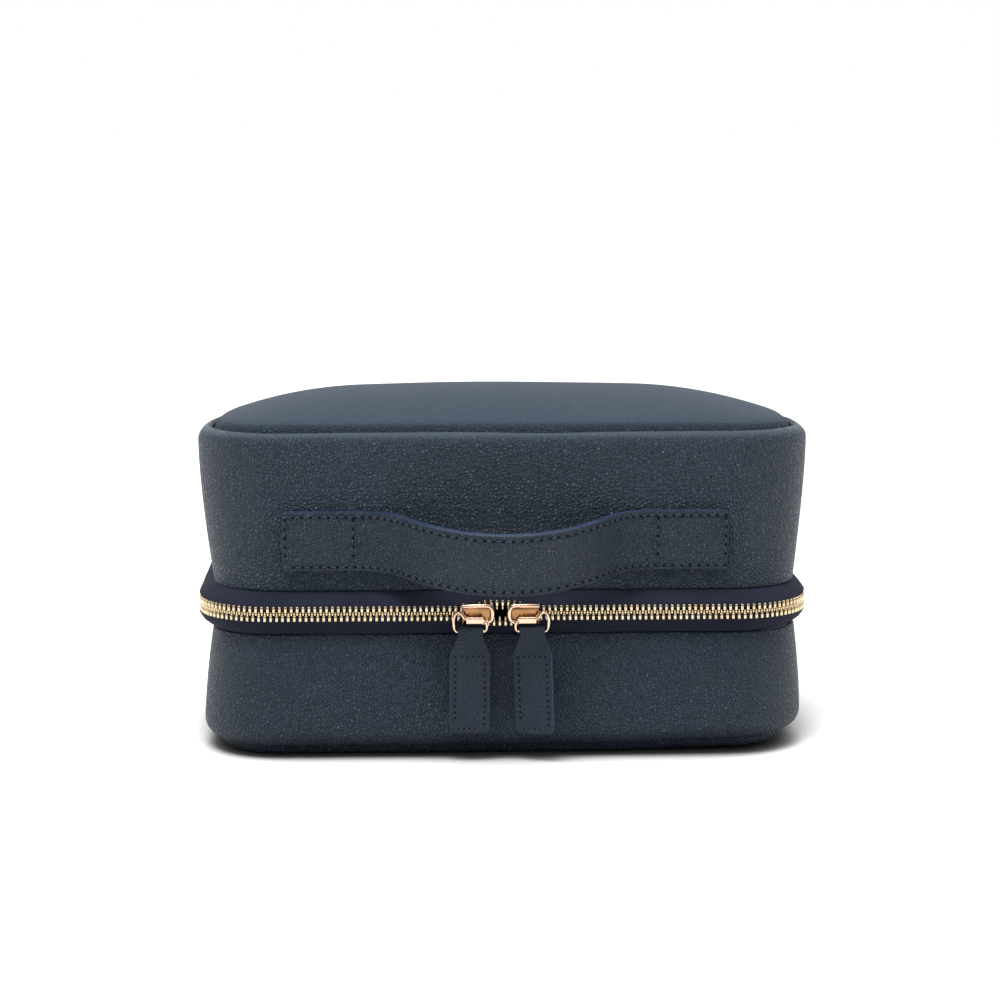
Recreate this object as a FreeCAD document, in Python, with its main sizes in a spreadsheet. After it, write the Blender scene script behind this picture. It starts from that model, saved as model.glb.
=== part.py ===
"""A zip-round leather jewellery case: a base and a taller lid, hinged by a leather band at the back.

X runs to the right, Y to the back and Z up, in millimetres.
The origin is the middle of the underside, on the table.
"""

import FreeCAD, Part
import math
import os
from collections import namedtuple

import Sketcher
from FreeCAD import Placement, Rotation, Vector

# Driving dimensions: alias, millimetres, what it measures.
SIZES = (
    ("case_width", 254, "outside width at the foot and the shoulder"),
    ("case_depth", 132, "outside depth at the foot and the shoulder"),
    ("corner_radius", 32, "outside radius of the upright corners"),
    ("waist_inset", 3.5, "how far the leather draws in from foot or shoulder to the zip"),
    ("roll_radius", 6, "rolled leather edge at the foot and the shoulder"),
    ("foot_height", 3, "height of the lower seam above the table"),
    ("foot_round", 2.4, "rounding of the bottom panel's edge"),
    ("zip_height", 61.5, "height of the middle of the zip chain"),
    ("zip_reveal", 8.5, "middle of the zip chain to the leather edge"),
    ("zip_end_turn", 50, "how far round each back corner the zip runs, in degrees"),
    ("shoulder_height", 135.5, "height of the upper seam"),
    ("crown_height", 13, "rise of the padded top above the upper seam"),
    ("crown_power", 2.3, "fullness of the padded top, no unit"),
    ("leather_thickness", 1.6, "turned leather of walls and panels"),
    ("board_thickness", 2, "stiffening board"),
    ("lining_thickness", 1, "suede lining"),
    ("edge_turn", 5, "seam allowance of the zip tape behind the leather edge"),
    ("tape_thickness", 1, "zip tape with its sewn-in backing"),
    ("tape_bulge", 3.8, "how far the tape stands out from the leather edge at the chain"),
    ("tooth_pitch", 2.4, "spacing of the teeth along one tape"),
    ("tooth_width", 1, "one tooth along the chain"),
    ("tooth_reach", 3.1, "middle of the chain to the root of a tooth"),
    ("tooth_leg", 0.65, "leg of a tooth on each face of the tape"),
    ("tooth_bite", 1.8, "how far the legs grip over the tape"),
    ("tooth_slack", 0.05, "gap between tooth and tape"),
    ("chain_gap", 0.7, "slit along the chain that the slider's post runs in"),
    ("stop_length", 2.4, "end stop along the chain"),
    ("stop_margin", 1, "end of the tape to the end stop"),
    ("hinge_thickness", 1.2, "leather hinge band"),
    ("hinge_gap", 0.3, "fold line between the two leaves of the hinge band"),
    ("hinge_end_gap", 0.3, "hinge band to the ends of the zip tape"),
    ("slider_length", 13, "slider along the chain"),
    ("slider_plate", 1.2, "plates of the slider"),
    ("slider_nose", 3, "corner radius at the nose of the slider"),
    ("slider_tail", 1, "corner radius at the tail of the slider"),
    ("slider_rest", 9.3, "where the sliders meet to the middle of a slider"),
    ("zip_meeting", 2, "how far left of the middle the sliders meet"),
    ("run_clearance", 0.3, "slider to the chain it runs on"),
    ("flange_wall", 0.9, "lower guide flange of the slider"),
    ("flange_reach", 0.8, "how far the flange turns in behind the plate"),
    ("post_clearance", 0.15, "slider post to the teeth on each side"),
    ("post_length", 4, "slider post along the chain"),
    ("post_setback", 1.5, "nose of the slider to its post"),
    ("lug_offset", 3.3, "middle of the slider to the middle of its lug"),
    ("lug_length", 5.6, "lug along the chain"),
    ("lug_standoff", 3.2, "front of the slider to the axis of the lug"),
    ("lug_drop", 2, "middle of the chain down to the axis of the lug"),
    ("lug_wall", 0.9, "metal round the lug's bore"),
    ("ring_wire", 1.3, "wire of the pull ring"),
    ("ring_clearance", 0.3, "ring to the lug and to the leather round it"),
    ("ring_drop", 4.6, "upper bar to lower bar of the pull ring"),
    ("ring_corner", 1.6, "bend radius of the pull ring"),
    ("tab_neck", 10.4, "pull tab's width at its fold"),
    ("tab_width", 16, "pull tab's full width"),
    ("tab_shoulder", 9, "pull tab's fold to where it is full width"),
    ("tab_length", 42.5, "pull tab below the lower bar of its ring"),
    ("tab_thickness", 2.6, "two leathers and their filler"),
    ("tab_corner", 3, "rounded lower corners of the pull tab"),
    ("tab_fold", 1.1, "leather folded round the ring"),
    ("tab_side_gap", 0.35, "pull tab to the legs of its ring"),
    ("handle_width", 25, "carrying strap"),
    ("handle_half", 90.5, "middle of the strap to its sewn end"),
    ("handle_patch", 29.5, "length of each box-stitched end"),
    ("handle_bow", 28, "how far the free strap stands out"),
    ("handle_heel", 28, "bend radius where the strap leaves the lid"),
    ("handle_height", 91.6, "height of the middle of the strap"),
    ("strap_thickness", 1.7, "outer leather of the strap"),
    ("backing_thickness", 1.3, "backing leather of the strap"),
    ("divider_thickness", 3, "padded dividers"),
    ("divider_height", 34, "dividers above the lining"),
    ("divider_line", 4, "long divider behind the middle of the case"),
    ("front_spacing", 41, "front dividers left and right of the middle"),
    ("bed_height", 20, "foam under the ring rolls"),
    ("roll_gap", 0.4, "between ring rolls"),
    ("roll_flat", 1.5, "flat where a ring roll is sewn to its bed"),
    ("roll_round", 2.5, "rounded ends of the ring rolls"),
    ("mirror_margin", 26, "lining to the mirror frame, all round"),
    ("mirror_corner", 8, "corner radius of the mirror frame"),
    ("frame_border", 9, "visible border of the mirror frame"),
    ("frame_lip", 2.5, "frame over the edge of the glass"),
    ("frame_thickness", 3.4, "mirror frame"),
    ("glass_thickness", 2.2, "mirror glass"),
)
RING_ROLLS = 4
CROWN_STEPS = (1.0, 0.86, 0.66, 0.42, 0.16)
SAME_PLACE = 1e-4

doc = FreeCAD.newDocument("jewellery_case")
sheet = doc.addObject("Spreadsheet::Sheet", "dims")
for row, (alias, size, note) in enumerate(SIZES, start=1):
    sheet.set("A%d" % row, note)
    sheet.set("B%d" % row, str(size))
    sheet.setAlias("B%d" % row, alias)
doc.recompute()

# Derived lengths, as expressions over the sheet.
Half = namedtuple("Half", "name waist far toward_zip from_zip rise")
BASE = Half("base", "(dims.zip_height - dims.zip_reveal)", "dims.foot_height", "+", "-",
            "(dims.zip_height - dims.zip_reveal - dims.foot_height)")
LID = Half("lid", "(dims.zip_height + dims.zip_reveal)", "dims.shoulder_height", "-", "+",
           "(dims.shoulder_height - dims.zip_height - dims.zip_reveal)")
LEATHER = "dims.leather_thickness"
TO_LINING = "(dims.leather_thickness + dims.board_thickness)"
TO_INSIDE = "(dims.leather_thickness + dims.board_thickness + dims.lining_thickness)"
FLOOR = "(dims.foot_height + %s)" % TO_INSIDE
CEILING = "(dims.shoulder_height - %s)" % TO_INSIDE
TAPE_INSET = "(dims.waist_inset - dims.tape_bulge)"
TOOTH_THICKNESS = "(dims.tape_thickness + 2 * (dims.tooth_slack + dims.tooth_leg))"
CHAIN_FRONT = "(dims.case_depth / 2 - %s + dims.tooth_slack + dims.tooth_leg)" % TAPE_INSET
CHAIN_BACK = "(%s - %s)" % (CHAIN_FRONT, TOOTH_THICKNESS)
ZIP_TURN = "(dims.corner_radius - %s - dims.tape_thickness / 2)" % TAPE_INSET
ZIP_END = "(dims.case_depth / 2 - dims.corner_radius + %s * sin(dims.zip_end_turn))" % ZIP_TURN
PLATE_BACK = "(%s + dims.run_clearance)" % CHAIN_FRONT
PLATE_FRONT = "(%s + dims.slider_plate)" % PLATE_BACK
PLATE_HALF_HEIGHT = "(dims.tooth_reach + dims.run_clearance + dims.flange_wall)"
MEETING_X = "(0 - dims.zip_meeting)"
SLIDER_X = "(%s - dims.slider_rest)" % MEETING_X
LUG_X = "(%s - dims.lug_offset)" % SLIDER_X
LUG_Y = "(0 - %s - dims.lug_standoff)" % PLATE_FRONT
LUG_Z = "(dims.zip_height - dims.lug_drop)"
BORE_RADIUS = "(dims.ring_wire / 2 + dims.ring_clearance)"
TAB_BAR_Z = "(%s - dims.ring_drop)" % LUG_Z
DIVIDER_FRONT = "(dims.divider_line - dims.divider_thickness / 2)"
DIVIDER_BACK = "(dims.divider_line + dims.divider_thickness / 2)"
OUTER = "dims.case_width"

parts = []


def value(expression):
    return float(sheet.evalExpression(expression))


def shifted(level, sign, distance):
    return "(%s %s (%s))" % (level, sign, distance)


def new_body(label):
    body = doc.addObject("PartDesign::Body", label)
    body.Label = label
    parts.append(body)
    return body


def origin_plane(body, role):
    return next(plane for plane in body.Origin.OriginFeatures if plane.Role == role)


def new_sketch(body, name, role, normal_offset="0", x_offset="0", y_offset="0"):
    sketch = body.newObject("Sketcher::SketchObject", name)
    sketch.AttachmentSupport = [(origin_plane(body, role), "")]
    sketch.MapMode = "FlatFace"
    sketch.setExpression("AttachmentOffset.Base.x", x_offset)
    sketch.setExpression("AttachmentOffset.Base.y", y_offset)
    sketch.setExpression("AttachmentOffset.Base.z", normal_offset)
    return sketch


def measure(sketch, expression, kind, *where):
    index = sketch.addConstraint(Sketcher.Constraint(kind, *where, value(expression)))
    sketch.setExpression("Constraints[%d]" % index, expression)


def rounded_rectangle(sketch, half_width, half_height, radius):
    """Draws a rounded rectangle centred on the sketch's origin."""
    wide, high, turn = value(half_width), value(half_height), value(radius)
    lines = (
        ((turn - wide, -high), (wide - turn, -high)),
        ((wide, turn - high), (wide, high - turn)),
        ((wide - turn, high), (turn - wide, high)),
        ((-wide, high - turn), (-wide, turn - high)),
    )
    centres = ((wide - turn, turn - high), (wide - turn, high - turn),
               (turn - wide, high - turn), (turn - wide, turn - high))
    for start, end in lines:
        sketch.addGeometry(Part.LineSegment(Vector(*start, 0), Vector(*end, 0)), False)
    for corner, centre in enumerate(centres):
        first = (corner - 1) * math.pi / 2
        circle = Part.Circle(Vector(*centre, 0), Vector(0, 0, 1), turn)
        sketch.addGeometry(Part.ArcOfCircle(circle, first, first + math.pi / 2), False)
    for side in range(4):
        sketch.addConstraint(Sketcher.Constraint("Tangent", side, 2, 4 + side, 1))
        sketch.addConstraint(Sketcher.Constraint("Tangent", 4 + side, 2, (side + 1) % 4, 1))
    sketch.addConstraint(Sketcher.Constraint("Horizontal", 2))
    sketch.addConstraint(Sketcher.Constraint("Vertical", 3))
    for corner in (5, 6, 7):
        sketch.addConstraint(Sketcher.Constraint("Equal", 4, corner))
    sketch.addConstraint(Sketcher.Constraint("Symmetric", 0, 1, 0, 2, -2))
    sketch.addConstraint(Sketcher.Constraint("Symmetric", 1, 1, 1, 2, -1))
    measure(sketch, "2 * (%s)" % half_width, "DistanceX", 3, 1, 1, 1)
    measure(sketch, "2 * (%s)" % half_height, "DistanceY", 0, 1, 2, 2)
    measure(sketch, radius, "Radius", 4)


def case_outline(body, name, level, inset):
    """The case's plan outline at one level, drawn in by an inset."""
    sketch = new_sketch(body, name, "XY_Plane", level)
    rounded_rectangle(
        sketch,
        "dims.case_width / 2 - %s" % inset,
        "dims.case_depth / 2 - %s" % inset,
        "dims.corner_radius - %s" % inset,
    )
    return sketch


def join_sections(body, name, sketches, cut=False, ruled=True):
    kind = "PartDesign::SubtractiveLoft" if cut else "PartDesign::AdditiveLoft"
    loft = body.newObject(kind, name)
    loft.Profile = sketches[0]
    loft.Sections = sketches[1:]
    loft.Ruled = ruled
    return loft


def stack(body, name, sections, cut=False):
    """Joins plan outlines, each a level and an inset, with straight-sided walls."""
    sketches = []
    for step, (level, inset) in enumerate(sections):
        sketches.append(case_outline(body, "%s_%d" % (name, step), level, inset))
    return join_sections(body, name, sketches, cut)


def prism(body, name, low, high, inset, cut=False):
    """Adds or cuts an upright block of the case's outline, drawn in by an inset, between two levels."""
    foot = case_outline(body, name + "_foot", low, inset)
    feature = body.newObject("PartDesign::Pocket" if cut else "PartDesign::Pad", name)
    feature.Profile = foot
    feature.Reversed = cut
    feature.setExpression("Length", "%s - %s" % (high, low))


def round_edges(body, name, radius, chosen):
    """Fillets the edges of the body so far for which chosen(edge) is true."""
    doc.recompute()
    tip = body.Tip
    edges = [
        "Edge%d" % number
        for number, edge in enumerate(tip.Shape.Edges, start=1)
        if chosen(edge)
    ]
    fillet = body.newObject("PartDesign::Fillet", name)
    fillet.Base = (tip, edges)
    fillet.setExpression("Radius", radius)
    return fillet


def at_level(level):
    """Chooses the edges that lie flat at one level."""
    height = value(level)

    def chosen(edge):
        extent = edge.BoundBox
        return extent.ZLength < SAME_PLACE and abs(extent.ZMin - height) < SAME_PLACE

    return chosen


def through_plate(side, place):
    """Chooses the edges that run front to back at one side of an upright plate."""
    where = value(place)

    def chosen(edge):
        extent = edge.BoundBox
        along_depth = max(extent.XLength, extent.ZLength) < SAME_PLACE
        return along_depth and abs(getattr(extent, side) - where) < SAME_PLACE

    return chosen


def box(body, name, low, high, cut=False):
    """Adds or cuts a box between two corners, each three expressions."""
    kind = "PartDesign::SubtractiveBox" if cut else "PartDesign::AdditiveBox"
    feature = body.newObject(kind, name)
    sides = zip(("Length", "Width", "Height"), ("x", "y", "z"), low, high)
    for side, axis, start, end in sides:
        feature.setExpression(side, "(%s) - (%s)" % (end, start))
        feature.setExpression("Placement.Base.%s" % axis, start)
    return feature


def rod(body, name, middle, radius, length, cut=False):
    """Adds or cuts a cylinder along X, centred on a point of three expressions."""
    kind = "PartDesign::SubtractiveCylinder" if cut else "PartDesign::AdditiveCylinder"
    feature = body.newObject(kind, name)
    feature.Placement = Placement(Vector(), Rotation(Vector(0, 1, 0), 90))
    feature.setExpression("Radius", radius)
    feature.setExpression("Height", length)
    feature.setExpression("Placement.Base.x", "%s - (%s) / 2" % (middle[0], length))
    feature.setExpression("Placement.Base.y", middle[1])
    feature.setExpression("Placement.Base.z", middle[2])
    return feature


def mirrored(label, source, across="0"):
    """The right-hand twin of a left-hand piece, on the other side of an upright plane."""
    twin = doc.addObject("Part::Mirroring", label)
    twin.Label = label
    twin.Source = source
    twin.Normal = Vector(1, 0, 0)
    twin.setExpression("Base.x", across)
    parts.append(twin)
    return twin


# Walls, boards and linings of the two halves.


def layer_end(half, depth):
    """Level where the block that lies a depth inside the leather's outside ends, away from the zip."""
    return shifted(half.far, half.toward_zip, depth)


def block(body, name, half, depth, cut=False):
    """The tapered block that lies a depth inside the leather's outside, from the leather edge outwards."""
    edge = case_outline(body, name + "_edge", half.waist, "(dims.waist_inset + %s)" % depth)
    feature = body.newObject("PartDesign::Pocket" if cut else "PartDesign::Pad", name)
    feature.Profile = edge
    feature.setExpression("Length", "%s - %s" % (half.rise, depth))
    feature.setExpression("TaperAngle", "atan(dims.waist_inset / %s)" % half.rise)
    feature.Reversed = (half is LID) == cut


def shell(label, half, outside, inside, rolled_inside):
    body = new_body(label)
    block(body, label + "_outside", half, outside)
    block(body, label + "_inside", half, inside, cut=True)
    if rolled_inside:
        inner_roll = "dims.roll_radius - %s" % inside
        round_edges(body, label + "_inner_roll", inner_roll, at_level(layer_end(half, inside)))
    outer_roll = "dims.roll_radius - %s" % outside
    round_edges(body, label + "_outer_roll", outer_roll, at_level(layer_end(half, outside)))
    return body


def wall(half):
    """The leather band, open at the zip and at its panel."""
    label = half.name + "_wall"
    body = shell(label, half, "0", LEATHER, True)
    low, high = sorted((half.far, layer_end(half, LEATHER)), key=value)
    prism(body, label + "_opening", low, high, "dims.roll_radius", cut=True)


def board(half):
    """The stiffener, stopping short of the zip to leave room for the tape's seam allowance."""
    label = half.name + "_board"
    body = shell(label, half, LEATHER, TO_LINING, True)
    low, high = sorted((half.waist, shifted(half.waist, half.from_zip, "dims.edge_turn")), key=value)
    prism(body, label + "_seam_room", low, high, "0", cut=True)


def lining(half):
    shell(half.name + "_lining", half, TO_LINING, TO_INSIDE, False)


# Bottom and top panels with their padding.


def bottom_panel():
    seam_top = "(dims.foot_height + %s)" % LEATHER
    hollow = "(dims.roll_radius + %s)" % LEATHER
    panel = new_body("base_bottom_panel")
    prism(panel, "base_panel_block", "0", seam_top, "dims.roll_radius")
    round_edges(panel, "base_panel_round", "dims.foot_round", at_level("0"))
    prism(panel, "base_panel_hollow", LEATHER, seam_top, hollow, cut=True)
    prism(new_body("base_pad"), "base_pad_block", LEATHER, seam_top, hollow)


def crown(body, name, seam, inset, cut=False):
    """The padded top: outlines that shrink as they rise from the seam to the crown."""
    sketches = []
    for step, share in enumerate(CROWN_STEPS):
        rise = "dims.crown_height * (1 - %g ^ dims.crown_power)" % share
        sketch = new_sketch(body, "%s_%d" % (name, step), "XY_Plane", "%s + %s" % (seam, rise))
        rounded_rectangle(
            sketch,
            "%g * (dims.case_width / 2 - %s)" % (share, inset),
            "%g * (dims.case_depth / 2 - %s)" % (share, inset),
            "%g * (dims.corner_radius - %s)" % (share, inset),
        )
        sketches.append(sketch)
    join_sections(body, name, sketches, cut, ruled=False)


def top_panel():
    seam = "dims.shoulder_height"
    under_seam = "(dims.shoulder_height - %s)" % LEATHER
    hollow = "(dims.roll_radius + %s)" % LEATHER
    panel = new_body("lid_top_panel")
    prism(panel, "lid_panel_seam", under_seam, seam, "dims.roll_radius")
    crown(panel, "lid_panel_crown", seam, "dims.roll_radius")
    crown(panel, "lid_panel_hollow", under_seam, hollow, cut=True)
    foam = new_body("lid_top_foam")
    crown(foam, "lid_foam_crown", under_seam, hollow)


# The zip: tapes, teeth and end stops.


def band(label, levels, thickness):
    """A band of one thickness round the whole case, from levels and insets of its outside."""
    body = new_body(label)
    stack(body, label + "_outside", levels)
    hollow = [(level, "(%s + %s)" % (inset, thickness)) for level, inset in levels]
    stack(body, label + "_inside", hollow, cut=True)
    return body


def seam_levels(half):
    """Where a band is sewn in behind the leather edge."""
    behind = "(dims.waist_inset + %s)" % LEATHER
    return [(shifted(half.waist, half.from_zip, "dims.edge_turn"), behind), (half.waist, behind)]


def tape(label, half):
    root = shifted("dims.zip_height", half.from_zip, "dims.tooth_reach + dims.tooth_slack")
    lip = shifted("dims.zip_height", half.from_zip, "dims.tooth_reach - dims.tooth_bite")
    levels = seam_levels(half) + [(root, TAPE_INSET), (lip, TAPE_INSET)]
    body = band(label, levels, "dims.tape_thickness")
    far = ("0 - %s" % OUTER, ZIP_END, "0")
    box(body, label + "_end", far, (OUTER, OUTER, "dims.shoulder_height"), cut=True)


def hinge_leaf(label, half):
    edge = shifted(half.waist, half.toward_zip, LEATHER)
    fold = shifted("dims.zip_height", half.from_zip, "dims.hinge_gap / 2")
    levels = seam_levels(half) + [(edge, "dims.waist_inset"), (fold, "dims.waist_inset")]
    body = band(label, levels, "dims.hinge_thickness")
    near = (OUTER, "%s + dims.hinge_end_gap" % ZIP_END, "dims.shoulder_height")
    box(body, label + "_end", ("0 - %s" % OUTER, "0 - %s" % OUTER, "0"), near, cut=True)


def chain_runs():
    """Lengths of the chain's straight runs, half the front and a whole side, and its corner radius."""
    turn = value(ZIP_TURN)
    front = value("dims.case_width / 2 - dims.corner_radius")
    side = value("dims.case_depth - 2 * dims.corner_radius")
    return front, side, turn


def chain_place(along):
    """Point and heading of the chain at a distance from the middle of the front, right positive."""
    front, side, turn = chain_runs()
    quarter = turn * math.pi / 2
    distance = abs(along)
    past_corner = max(distance - front - quarter, 0.0)
    forward = min(distance, front)
    first_turn = min(max(distance - front, 0.0), quarter) / turn
    beside = min(past_corner, side)
    second_turn = max(past_corner - side, 0.0) / turn
    x = forward + turn * (math.sin(first_turn) + math.cos(second_turn) - 1)
    y = beside - side / 2 - turn * (math.cos(first_turn) - math.sin(second_turn))
    return math.copysign(x, along), y, math.copysign(math.degrees(first_turn + second_turn), along)


def chain_half_length():
    front, side, turn = chain_runs()
    return front + side + turn * (math.pi / 2 + math.radians(value("dims.zip_end_turn")))


def clasp(half, width, along):
    """A forked piece of metal that grips the tape's lip, with its head at the middle of the chain."""
    up = 1 if half.toward_zip == "+" else -1
    middle = value("dims.zip_height")
    half_thickness = value(TOOTH_THICKNESS) / 2
    slot = value("dims.tape_thickness / 2 + dims.tooth_slack")
    root = middle - up * value("dims.tooth_reach")
    slot_end = root + up * value("dims.tooth_bite + dims.tooth_slack")
    head = middle - up * value("dims.chain_gap / 2")
    profile = (
        (-half_thickness, root), (-half_thickness, head), (half_thickness, head),
        (half_thickness, root), (slot, root), (slot, slot_end), (-slot, slot_end), (-slot, root),
    )
    points = [Vector(-width / 2, across, height) for across, height in profile]
    solid = Part.Face(Part.makePolygon(points + points[:1])).extrude(Vector(width, 0, 0))
    x, y, heading = chain_place(along)
    solid.Placement = Placement(Vector(x, y, 0), Rotation(Vector(0, 0, 1), heading))
    return solid


def metal_group(label, solids):
    group = doc.addObject("Part::Feature", label)
    group.Label = label
    group.Shape = Part.makeCompound(solids)
    parts.append(group)


def teeth(half, stagger):
    """One row of teeth, symmetric about the middle of the front."""
    pitch = value("dims.tooth_pitch")
    width = value("dims.tooth_width")
    stop_room = value("dims.stop_margin + dims.stop_length")
    last = chain_half_length() - stop_room - pitch
    count = int(last / pitch)
    places = [(number + stagger) * pitch for number in range(-count, count + 1)]
    row = [clasp(half, width, along) for along in places if abs(along) <= last]
    metal_group("zip_teeth_" + ("lower" if half is BASE else "upper"), row)


def stops(half):
    length = value("dims.stop_length")
    along = chain_half_length() - value("dims.stop_margin") - length / 2
    pair = [clasp(half, length, -along), clasp(half, length, along)]
    metal_group("zip_stops_" + ("lower" if half is BASE else "upper"), pair)


# Sliders and their pulls: the left set, and its mirror image.


def slider():
    body = new_body("slider_left")
    tail = "%s - dims.slider_length / 2" % SLIDER_X
    nose = "%s + dims.slider_length / 2" % SLIDER_X
    bottom = "dims.zip_height - %s" % PLATE_HALF_HEIGHT
    top = "dims.zip_height + %s" % PLATE_HALF_HEIGHT
    front = "0 - %s" % PLATE_FRONT
    back = "0 - %s" % PLATE_BACK
    box(body, "slider_front_plate", (tail, front, bottom), (nose, back, top))
    round_edges(body, "slider_nose_round", "dims.slider_nose", through_plate("XMin", nose))
    round_edges(body, "slider_tail_round", "dims.slider_tail", through_plate("XMin", tail))
    flange_low = ("%s + dims.slider_tail" % tail, back, bottom)
    flange_high = ("%s - dims.slider_nose" % nose, "%s + dims.flange_reach" % back,
                   "%s + dims.flange_wall" % bottom)
    box(body, "slider_flange", flange_low, flange_high)
    inner_front = "0 - %s + dims.run_clearance" % CHAIN_BACK
    post_half = "(dims.chain_gap / 2 - dims.post_clearance)"
    post_end = "%s - dims.post_setback" % nose
    box(body, "slider_post",
        ("%s - dims.post_length" % post_end, back, "dims.zip_height - %s" % post_half),
        (post_end, inner_front, "dims.zip_height + %s" % post_half))
    box(body, "slider_inner_plate",
        (tail, inner_front, "dims.zip_height - dims.tooth_reach"),
        (nose, "%s + dims.slider_plate" % inner_front, "dims.zip_height + dims.tooth_reach"))
    lug_radius = "(%s + dims.lug_wall)" % BORE_RADIUS
    lug_middle = (LUG_X, LUG_Y, LUG_Z)
    box(body, "slider_lug_neck",
        ("%s - dims.lug_length / 2" % LUG_X, LUG_Y, "%s - %s" % (LUG_Z, lug_radius)),
        ("%s + dims.lug_length / 2" % LUG_X, front, "%s + %s" % (LUG_Z, lug_radius)))
    rod(body, "slider_lug", lug_middle, lug_radius, "dims.lug_length")
    rod(body, "slider_lug_bore", lug_middle, BORE_RADIUS, "2 * dims.lug_length", cut=True)
    return body


def pull_ring():
    body = new_body("pull_ring_left")
    path = new_sketch(body, "ring_path", "XZ_Plane", "0 - %s" % LUG_Y, LUG_X,
                      "%s - dims.ring_drop / 2" % LUG_Z)
    half_width = "(dims.tab_neck / 2 + dims.tab_side_gap + dims.ring_wire / 2)"
    rounded_rectangle(path, half_width, "dims.ring_drop / 2", "dims.ring_corner")
    wire = new_sketch(body, "ring_wire_section", "YZ_Plane", LUG_X, LUG_Y, LUG_Z)
    wire.addGeometry(Part.Circle(Vector(), Vector(0, 0, 1), value("dims.ring_wire / 2")), False)
    wire.addConstraint(Sketcher.Constraint("Coincident", 0, 3, -1, 1))
    measure(wire, "dims.ring_wire / 2", "Radius", 0)
    doc.recompute()
    ring = body.newObject("PartDesign::AdditivePipe", "ring_bend")
    ring.Profile = wire
    ring.Spine = (path, ["Edge%d" % (edge + 1) for edge in range(len(path.Shape.Edges))])
    return body


def pull_tab():
    body = new_body("pull_tab_left")
    outline = new_sketch(body, "tab_outline", "XZ_Plane", "0 - %s" % LUG_Y, LUG_X,
                         "%s - dims.tab_length" % TAB_BAR_Z)
    right_side = (
        ("dims.tab_width / 2", "0"),
        ("dims.tab_width / 2", "(dims.tab_length - dims.tab_shoulder)"),
        ("dims.tab_neck / 2", "dims.tab_length"),
    )
    right = [Vector(value(across), value(up), 0) for across, up in right_side]
    left = [Vector(-point.x, point.y, 0) for point in reversed(right)]
    corners = right + left
    for number, corner in enumerate(corners):
        following = corners[(number + 1) % len(corners)]
        outline.addGeometry(Part.LineSegment(corner, following), False)
    for number in range(len(corners)):
        joined = Sketcher.Constraint("Coincident", number, 2, (number + 1) % len(corners), 1)
        outline.addConstraint(joined)
    for number, (across, up) in enumerate(right_side):
        twin = len(corners) - 1 - number
        outline.addConstraint(Sketcher.Constraint("Symmetric", number, 1, twin, 1, -2))
        measure(outline, across, "DistanceX", -1, 1, number, 1)
        if up == "0":
            outline.addConstraint(Sketcher.Constraint("PointOnObject", number, 1, -1))
        else:
            measure(outline, up, "DistanceY", -1, 1, number, 1)
    leather = body.newObject("PartDesign::Pad", "tab_leather")
    leather.Profile = outline
    leather.SideType = "Symmetric"
    leather.setExpression("Length", "dims.tab_thickness")
    foot = "%s - dims.tab_length" % TAB_BAR_Z
    round_edges(body, "tab_round", "dims.tab_corner", through_plate("ZMin", foot))
    bar = (LUG_X, LUG_Y, TAB_BAR_Z)
    rod(body, "tab_eye", bar, "%s + dims.tab_fold" % BORE_RADIUS, "dims.tab_neck")
    rod(body, "tab_bore", bar, BORE_RADIUS, "2 * dims.tab_neck", cut=True)
    return body


# The carrying strap.


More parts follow.
